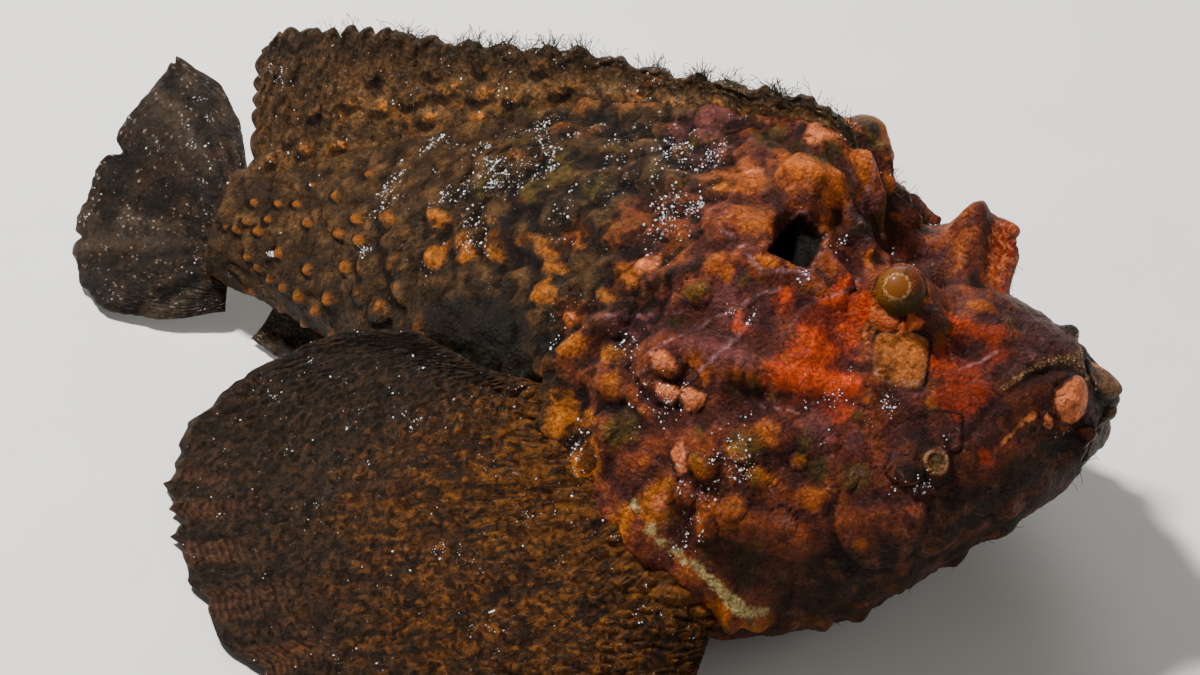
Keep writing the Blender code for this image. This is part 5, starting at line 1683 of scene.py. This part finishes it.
class StonefishTones(bpy.types.PropertyGroup):
    """Colours of the skin, fins and eyes."""

    umber: tone("Umber", (0.026, 0.014, 0.006), "Darkest ground of the body")
    brown: tone("Brown", (0.090, 0.043, 0.015), "Lighter ground of the body")
    wart: tone("Wart", (0.270, 0.080, 0.008), "Tops of the small warts")
    gilt: tone("Gilt", (0.400, 0.120, 0.026), "Golden line along the jaw and round the eye")
    lid: tone("Lid", (0.420, 0.080, 0.022), "Lobes of the lower lid")
    plate_brown: tone("Plate brown", (0.110, 0.030, 0.006), "Blots of the plate")
    plate_grey: tone("Plate grey", (0.160, 0.120, 0.090), "Spots at the plate's corners")
    maroon: tone("Maroon", (0.062, 0.014, 0.009), "Dark ground of the head")
    rust: tone("Rust", (0.150, 0.032, 0.008), "Lighter ground of the head")
    chin: tone("Chin", (0.013, 0.006, 0.0025), "Ground of the jaw and chin")
    jaw_rust: tone("Jaw rust", (0.062, 0.018, 0.005), "Rusty clouds on the jaw")
    jaw_green: tone("Jaw green", (0.009, 0.010, 0.005), "Blackish green clouds and weedy places")
    tip: tone("Tip", (0.034, 0.033, 0.018), "Greyish green tip of the jaw")
    red: tone("Red", (0.360, 0.036, 0.005), "Bright patches of the cheeks and snout")
    orange: tone("Orange", (0.290, 0.066, 0.007), "Swellings of the nape and cheeks")
    coral: tone("Coral", (0.520, 0.135, 0.045), "Pale pink lumps")
    gold: tone("Gold", (0.330, 0.090, 0.005), "Tops of the warts")
    tan: tone("Tan", (0.255, 0.072, 0.013), "Plate below the eye")
    lilac: tone("Lilac", (0.090, 0.026, 0.024), "Purple areas")
    pale_lilac: tone("Pale lilac", (0.210, 0.105, 0.110), "Greyish purple lines")
    olive: tone("Olive", (0.050, 0.034, 0.005), "Growth on the back and in the hollows")
    edge: tone("Edge", (0.360, 0.290, 0.110), "Edge of the gill cover")
    fringe: tone("Fringe", (0.210, 0.120, 0.045), "Fringe of the upper lip")
    black: tone("Black", (0.005, 0.005, 0.004), "Pits and hollows")
    fin_black: tone("Fin black", (0.008, 0.006, 0.004), "Darkest part of the fins")
    fin_dark: tone("Fin dark", (0.022, 0.012, 0.006), "Outer part of the fins")
    fin_brown: tone("Fin brown", (0.022, 0.009, 0.003), "Cells of the pectoral fins")
    fin_rust: tone("Fin rust", (0.052, 0.019, 0.004), "Lighter cells of the pectoral fins")
    fin_red: tone("Fin red", (0.095, 0.036, 0.018), "Membrane near the margin of the fins")
    fin_gold: tone("Fin gold", (0.150, 0.050, 0.007), "Net on the pectoral fins")
    lobe: tone("Lobe", (0.120, 0.040, 0.006), "Lobes at the root of the pectoral fins")
    tail_grey: tone("Tail grey", (0.050, 0.034, 0.022), "Pale bands of the tail fin")
    fleck: tone("Fleck", (0.260, 0.220, 0.180), "Pale flecks of the fins")
    # Pale grains: sand, and painted glints of the wet skin
    sand: tone("Sand", (0.72, 0.76, 0.80), "Sand grains on the skin")
    weed: tone("Weed", (0.030, 0.026, 0.010), "Fine weed on the fin edge")
    eye_disc: tone("Eye disc", (0.190, 0.054, 0.008), "Middle of the eye")
    eye_ray: tone("Eye ray", (0.120, 0.044, 0.006), "Golden part of the eye")
    eye_rim: tone("Eye rim", (0.105, 0.036, 0.006), "Darker part of the eye")
    eye_brown: tone("Eye brown", (0.090, 0.020, 0.006), "Reddish upper part of the eye")
    eye_olive: tone("Eye olive", (0.024, 0.021, 0.005), "Dark lower front of the eye")
    eye_ring: tone("Eye ring", (0.340, 0.160, 0.060), "Dots round the middle of the eye")


class StonefishSizes(bpy.types.PropertyGroup):
    """Numbers and sizes of the small growth."""

    # The grains stand for sand and for painted glints of the wet skin
    grains: IntProperty(
        name="Sand grains", description="Grains of sand on the skin", default=9500, min=1)
    fin_grains: IntProperty(
        name="Fin grains", description="Grains of sand on the fins", default=2600, min=1)
    grain_size: FloatProperty(
        name="Grain size", description="Radius of a grain of sand", default=0.12 * MM,
        unit="LENGTH", subtype="DISTANCE", precision=5)
    weed_hairs: IntProperty(
        name="Weed hairs", description="Hairs on the dorsal fin's edge", default=2400, min=1)
    tuft_hairs: IntProperty(
        name="Tuft hairs", description="Hairs of weed on the snout and nape", default=420, min=1)
    weed_length: FloatProperty(
        name="Weed length", description="Length of a hair of weed", default=2.8 * MM,
        unit="LENGTH", subtype="DISTANCE", precision=4)
    lip_points: IntProperty(
        name="Lip points", description="Small points along the upper lip", default=150, min=1)


# ---------------------------------------------------------------- operators

class STONEFISH_OT_skin(bpy.types.Operator):
    """Make the one skin of head, jaw, trunk and tail"""

    bl_idname = "stonefish.skin"
    bl_label = "Skin"

    def execute(self, context):
        points, masks = skin_grid()
        centre = points[0].mean(axis=0)
        rings = []
        for turn in np.linspace(math.pi / 3, math.pi / 2, SNOUT_RINGS + 2)[1:-1]:
            ring = centre + (points[0] - centre) * math.cos(turn) * 2
            ring[:, 0] += SNOUT_ROUND * (math.sin(turn) - math.sin(math.pi / 3))
            rings.insert(0, pushed(ring))
        grid = np.concatenate([rings, points])
        ends = grid[[0, -1]].mean(axis=1)
        attributes = {
            key: np.concatenate([np.tile(values[0], SNOUT_RINGS), values.ravel(),
                                 values[[0, -1]].mean(axis=1)])
            for key, values in masks.items()}
        obj = new_mesh_object("skin", np.concatenate([grid.reshape(-1, 3), ends]),
                              capped_faces(*grid.shape[:2]), attributes)
        finish_piece(obj, skin_material(), "head_skin", "head", "lower_jaw", "trunk", "tail")
        return {"FINISHED"}


class STONEFISH_OT_eyes(bpy.types.Operator):
    """Make both eyes and the ring of skin round each"""

    bl_idname = "stonefish.eyes"
    bl_label = "Eyes and lids"

    def execute(self, context):
        rings, around = EYE_GRID
        polar = np.linspace(0, math.pi, rings + 1)[1:-1, None]
        spin = np.linspace(0, 2 * math.pi, around, endpoint=False)[None, :]
        ball = np.stack([np.sin(polar) * np.cos(spin), np.sin(polar) * np.sin(spin),
                         np.cos(polar) + 0 * spin], -1).reshape(-1, 3)
        ball = np.concatenate([ball, [[0, 0, 1]], [[0, 0, -1]]])
        material = eye_material()
        for side, name in ((-1, "eye_R"), (1, "eye_L")):
            centre, gaze = eye_place(side, GAZE)
            turn = np.array(Vector(gaze).to_track_quat("Z", "Y").to_matrix())
            unit = ball @ turn.T
            iris = eye_place(side, IRIS_GAZE)[1]
            sideways = np.cross(iris, (0, 0, 1)) * side
            sideways /= np.linalg.norm(sideways)
            upward = np.cross(sideways, iris) * side
            attributes = {"reach": np.arccos(np.clip(unit @ iris, -1, 1)) / (math.pi / 2),
                          "aside": unit @ sideways, "above": unit @ upward}
            obj = new_mesh_object(name + "_ball", centre + EYE_RADIUS * unit,
                                  capped_faces(rings - 1, around), attributes)
            finish_piece(obj, material, "eye", name)
            self.make_lid(name + "_lid", centre, turn)
        return {"FINISHED"}

    def make_lid(self, name, centre, turn):
        """Ring of skin round an eye with small points on its edge."""
        around, across = LID_GRID
        big = np.linspace(0, 2 * math.pi, around, endpoint=False)[:, None]
        small = np.linspace(0, 2 * math.pi, across, endpoint=False)[None, :]
        low = 0.5 - 0.5 * np.sin(big)
        thick = LID_THICK * (0.55 + 0.65 * low) * (1 + 0.22 * low * np.cos(19 * big + 1))
        reach = LID_RADIUS + LID_DROP[0] * low ** 2 + thick * np.cos(small)
        ring = np.stack([reach * np.cos(big), reach * np.sin(big),
                         LID_AHEAD - LID_DROP[1] * low ** 2 + thick * np.sin(small)], -1)
        masks = {key: FAR_AWAY.get(key, 0.0) for key in skin_grid()[1]}
        masks.update(head=1.0, cavity=0.55, gold=0.6, lilac=0.9 * (1 - low), fold=low ** 3)
        masks = {key: np.broadcast_to(values, (around, across)).ravel()
                 for key, values in masks.items()}
        obj = new_mesh_object(name, (centre + ring @ turn.T).reshape(-1, 3),
                              round_faces(around, across, closed=True), masks)
        finish_piece(obj, skin_material(), "head_skin")


class STONEFISH_OT_dorsal(bpy.types.Operator):
    """Make the dorsal fin and the weed on its edge"""

    bl_idname = "stonefish.dorsal"
    bl_label = "Dorsal fin"

    def execute(self, context):
        sizes = context.scene.stonefish_sizes
        middle, obj = dorsal_fin()
        finish_piece(obj, dorsal_material(), "dark_fin", "dorsal_fin_spiny", "dorsal_fin_soft")
        rng = np.random.default_rng(SEED + 60)
        count = sizes.weed_hairs
        share = np.linspace(0, 1, middle.shape[1])
        clump = ease(soft_noise(np.stack([share * 180] * 3, -1), 7.0, SEED + 61), -0.2, 0.7)
        chance = (0.15 + clump) * ease(share, 1.0, 0.7)
        picks = rng.choice(len(share), count, p=chance / chance.sum())
        rows = ((1 - 0.35 * rng.uniform(0, 1, count) ** 2) * (len(middle) - 1)).astype(int)
        places = middle[rows, picks] + rng.normal(0, 0.3, (count, 3))
        outs = rng.normal(0, 0.6, (count, 3)) + DORSAL_WEED_WAY
        lengths = rng.uniform(0.3, 1.0, count) ** 1.5 * 1.6 * sizes.weed_length / MM
        weed = plain_material("fine_weed", context.scene.stonefish_tones.weed, 0.6)
        scatter("dorsal_weed", filament_shape, places, outs, lengths, weed, "dark_fin",
                breadth=0.020, wander=2.0)
        return {"FINISHED"}


class STONEFISH_OT_tail_fins(bpy.types.Operator):
    """Make the tail fin and the anal fin"""

    bl_idname = "stonefish.tail_fins"
    bl_label = "Tail and anal fins"

    def execute(self, context):
        material = tail_fin_material()
        finish_piece(caudal_fin(), material, "dark_fin", "caudal_fin")
        finish_piece(anal_fin(), material, "dark_fin", "anal_fin")
        return {"FINISHED"}


class STONEFISH_OT_paired_fins(bpy.types.Operator):
    """Make the pectoral and pelvic fins"""

    bl_idname = "stonefish.paired_fins"
    bl_label = "Pectoral and pelvic fins"

    def execute(self, context):
        material = pectoral_material()
        for name, side, tips in (("pectoral_fin_R", -1, PECTORAL_R_TIPS),
                                 ("pectoral_fin_L", 1, PECTORAL_L_TIPS)):
            finish_piece(pectoral_fin(name + "_skin", side, tips), material, "brown_fin", name)
        for name, side in (("pelvic_fin_R", -1), ("pelvic_fin_L", 1)):
            finish_piece(pelvic_fin(name + "_skin", side), material, "brown_fin", name)
        return {"FINISHED"}


class STONEFISH_OT_growth(bpy.types.Operator):
    """Set points along the lip and tufts of weed on the head"""

    bl_idname = "stonefish.growth"
    bl_label = "Lip points and tufts"

    def execute(self, context):
        tones, sizes = context.scene.stonefish_tones, context.scene.stonefish_sizes
        masks = skin_grid()[1]
        s, degrees = skin_places()
        rng = np.random.default_rng(SEED + 80)
        places, outs = skin_sample(sizes.lip_points, masks["fringe"] ** 2, SEED + 81)
        outs = outs + np.array([0.4, 0, -0.5]) + rng.normal(0, 0.2, outs.shape)
        skin = plain_material("lip_skin", tones.fringe, 0.5)
        scatter("lip_points", cone_shape, places, outs, rng.uniform(0.2, 0.5, len(places)), skin,
                "head_skin", height=0.9, breadth=0.40)
        weight = 0.02 * masks["under"] * (s < 45) + 1e-9
        weight += np.max([mound(np.hypot(s - tuft_s, (degrees - tuft_degrees) * 0.9), radius)
                          for tuft_s, tuft_degrees, radius in TUFTS], axis=0)
        places, outs = skin_sample(sizes.tuft_hairs, weight, SEED + 82)
        outs = outs + rng.normal(0, 0.6, outs.shape)
        lengths = rng.uniform(0.3, 1.0, len(places)) ** 1.5 * sizes.weed_length / MM
        weed = plain_material("head_weed", tones.weed, 0.6)
        scatter("head_weed", filament_shape, places, outs, lengths, weed, "head_skin",
                breadth=0.03, wander=0.6)
        return {"FINISHED"}


class STONEFISH_OT_sand_and_glint(bpy.types.Operator):
    """Dust the skin with grains of sand, which also stand for painted glints"""

    bl_idname = "stonefish.sand"
    bl_label = "Sand grains"

    def execute(self, context):
        sizes = context.scene.stonefish_sizes
        points, masks = skin_grid()
        clump = ease(soft_noise(points, 6.0, SEED + 70), 0.0, 0.6)
        clump = clump * ease(soft_noise(points, 2.0, SEED + 73), -0.1, 0.5)
        seam = 0.08 + ease(masks["cavity"], 0.62, 0.40) ** 2 + 1.5 * masks["shade"]
        weight = (0.02 + masks["dust_and_glint"]) * (0.008 + clump ** 2) * seam * (masks["pit"] < -0.4)
        weight = weight * ease(np.abs(skin_places()[1]), 112, 92)
        places = skin_sample(sizes.grains, weight, SEED + 71, SAND_AND_GLINT_SPREAD)
        rng = np.random.default_rng(SEED + 72)
        # Pale grains, partly sand and partly painted glints of the wet skin
        sand = plain_material("sand_and_glint_grain", context.scene.stonefish_tones.sand, 0.35)
        fin_places = fin_sample(sizes.fin_grains, SEED + 74)
        for name, (spots, outs) in (("sand_and_glint_grains", places), ("fin_sand_and_glint_grains", fin_places)):
            scale = np.clip(rng.lognormal(-0.55, 0.75, (len(spots), 1)), 0.25, 2.5)
            flakes = scale * rng.uniform(0.5, 1.6, (len(spots), 3)) * (1, 1, 0.7)
            flakes = flakes * sizes.grain_size / MM
            scatter(name, grain_shape, spots, outs, flakes, sand, "body_skin")
        return {"FINISHED"}


class STONEFISH_OT_stage(bpy.types.Operator):
    """Set the floor, the lights and the camera"""

    bl_idname = "stonefish.stage"
    bl_label = "Stage"

    def execute(self, context):
        scene = context.scene
        corners = np.array([(-1, -1, 0), (1, -1, 0), (1, 1, 0), (-1, 1, 0)]) * FLOOR_HALF
        floor = new_mesh_object("floor", corners, [(0, 1, 2, 3)])
        floor.data.materials.append(plain_material("pale_floor", FLOOR_TONE, 0.7, 40.0, 0.02))

        azimuth, elevation = math.radians(CAMERA_AZIMUTH), math.radians(CAMERA_ELEVATION)
        back = Vector((math.sin(azimuth) * math.cos(elevation),
                       -math.cos(azimuth) * math.cos(elevation), math.sin(elevation)))
        right = Vector((math.cos(azimuth), math.sin(azimuth), 0))
        up = back.cross(right)
        target = Vector((np.array(CAMERA_TARGET) + SHIFT) * MM)
        camera = link_object("camera", bpy.data.cameras.new("camera"))
        turn = Matrix((right, up, back)).transposed().to_4x4()
        turn.translation = target + back * CAMERA_DISTANCE
        camera.matrix_world = turn
        camera.data.lens = CAMERA_LENS
        camera.data.sensor_width = 36.0
        scene.camera = camera

        for name, side, height, near, power, size in LAMPS:
            light = bpy.data.lights.new(name, "AREA")
            light.energy = power
            light.size = size
            lamp = link_object(name, light)
            lamp.location = target + right * side + up * height + back * near
            lamp.rotation_mode = "QUATERNION"
            lamp.rotation_quaternion = (lamp.location - target).to_track_quat("Z", "Y")
        world = bpy.data.worlds.new("studio")
        world.use_nodes = True
        inputs = world.node_tree.nodes["Background"].inputs
        inputs["Color"].default_value = (*WORLD_TONE, 1)
        inputs["Strength"].default_value = WORLD_STRENGTH
        scene.world = world
        return {"FINISHED"}


class STONEFISH_PT_panel(bpy.types.Panel):
    """The animal's pieces and settings in the sidebar"""

    bl_label = "Stonefish"
    bl_idname = "STONEFISH_PT_panel"
    bl_space_type = "VIEW_3D"
    bl_region_type = "UI"
    bl_category = "Stonefish"

    def draw(self, context):
        for operator in OPERATORS:
            self.layout.operator(operator.bl_idname)
        for group in (context.scene.stonefish_sizes, context.scene.stonefish_tones):
            for key in group.bl_rna.properties.keys():
                if key not in ("rna_type", "name"):
                    self.layout.prop(group, key)


OPERATORS = (
    STONEFISH_OT_skin,
    STONEFISH_OT_eyes,
    STONEFISH_OT_dorsal,
    STONEFISH_OT_tail_fins,
    STONEFISH_OT_paired_fins,
    STONEFISH_OT_growth,
    STONEFISH_OT_sand_and_glint,
    STONEFISH_OT_stage,
)
CLASSES = (StonefishTones, StonefishSizes, *OPERATORS, STONEFISH_PT_panel)


def register():
    for item in CLASSES:
        bpy.utils.register_class(item)
    bpy.types.Scene.stonefish_tones = PointerProperty(type=StonefishTones)
    bpy.types.Scene.stonefish_sizes = PointerProperty(type=StonefishSizes)


def unregister():
    del bpy.types.Scene.stonefish_sizes
    del bpy.types.Scene.stonefish_tones
    for item in reversed(CLASSES):
        bpy.utils.unregister_class(item)


def main():
    register()
    bpy.ops.stonefish.skin()
    bpy.ops.stonefish.eyes()
    bpy.ops.stonefish.dorsal()
    bpy.ops.stonefish.tail_fins()
    bpy.ops.stonefish.paired_fins()
    bpy.ops.stonefish.growth()
    bpy.ops.stonefish.sand()
    bpy.ops.stonefish.stage()


if __name__ == "__main__":
    main()
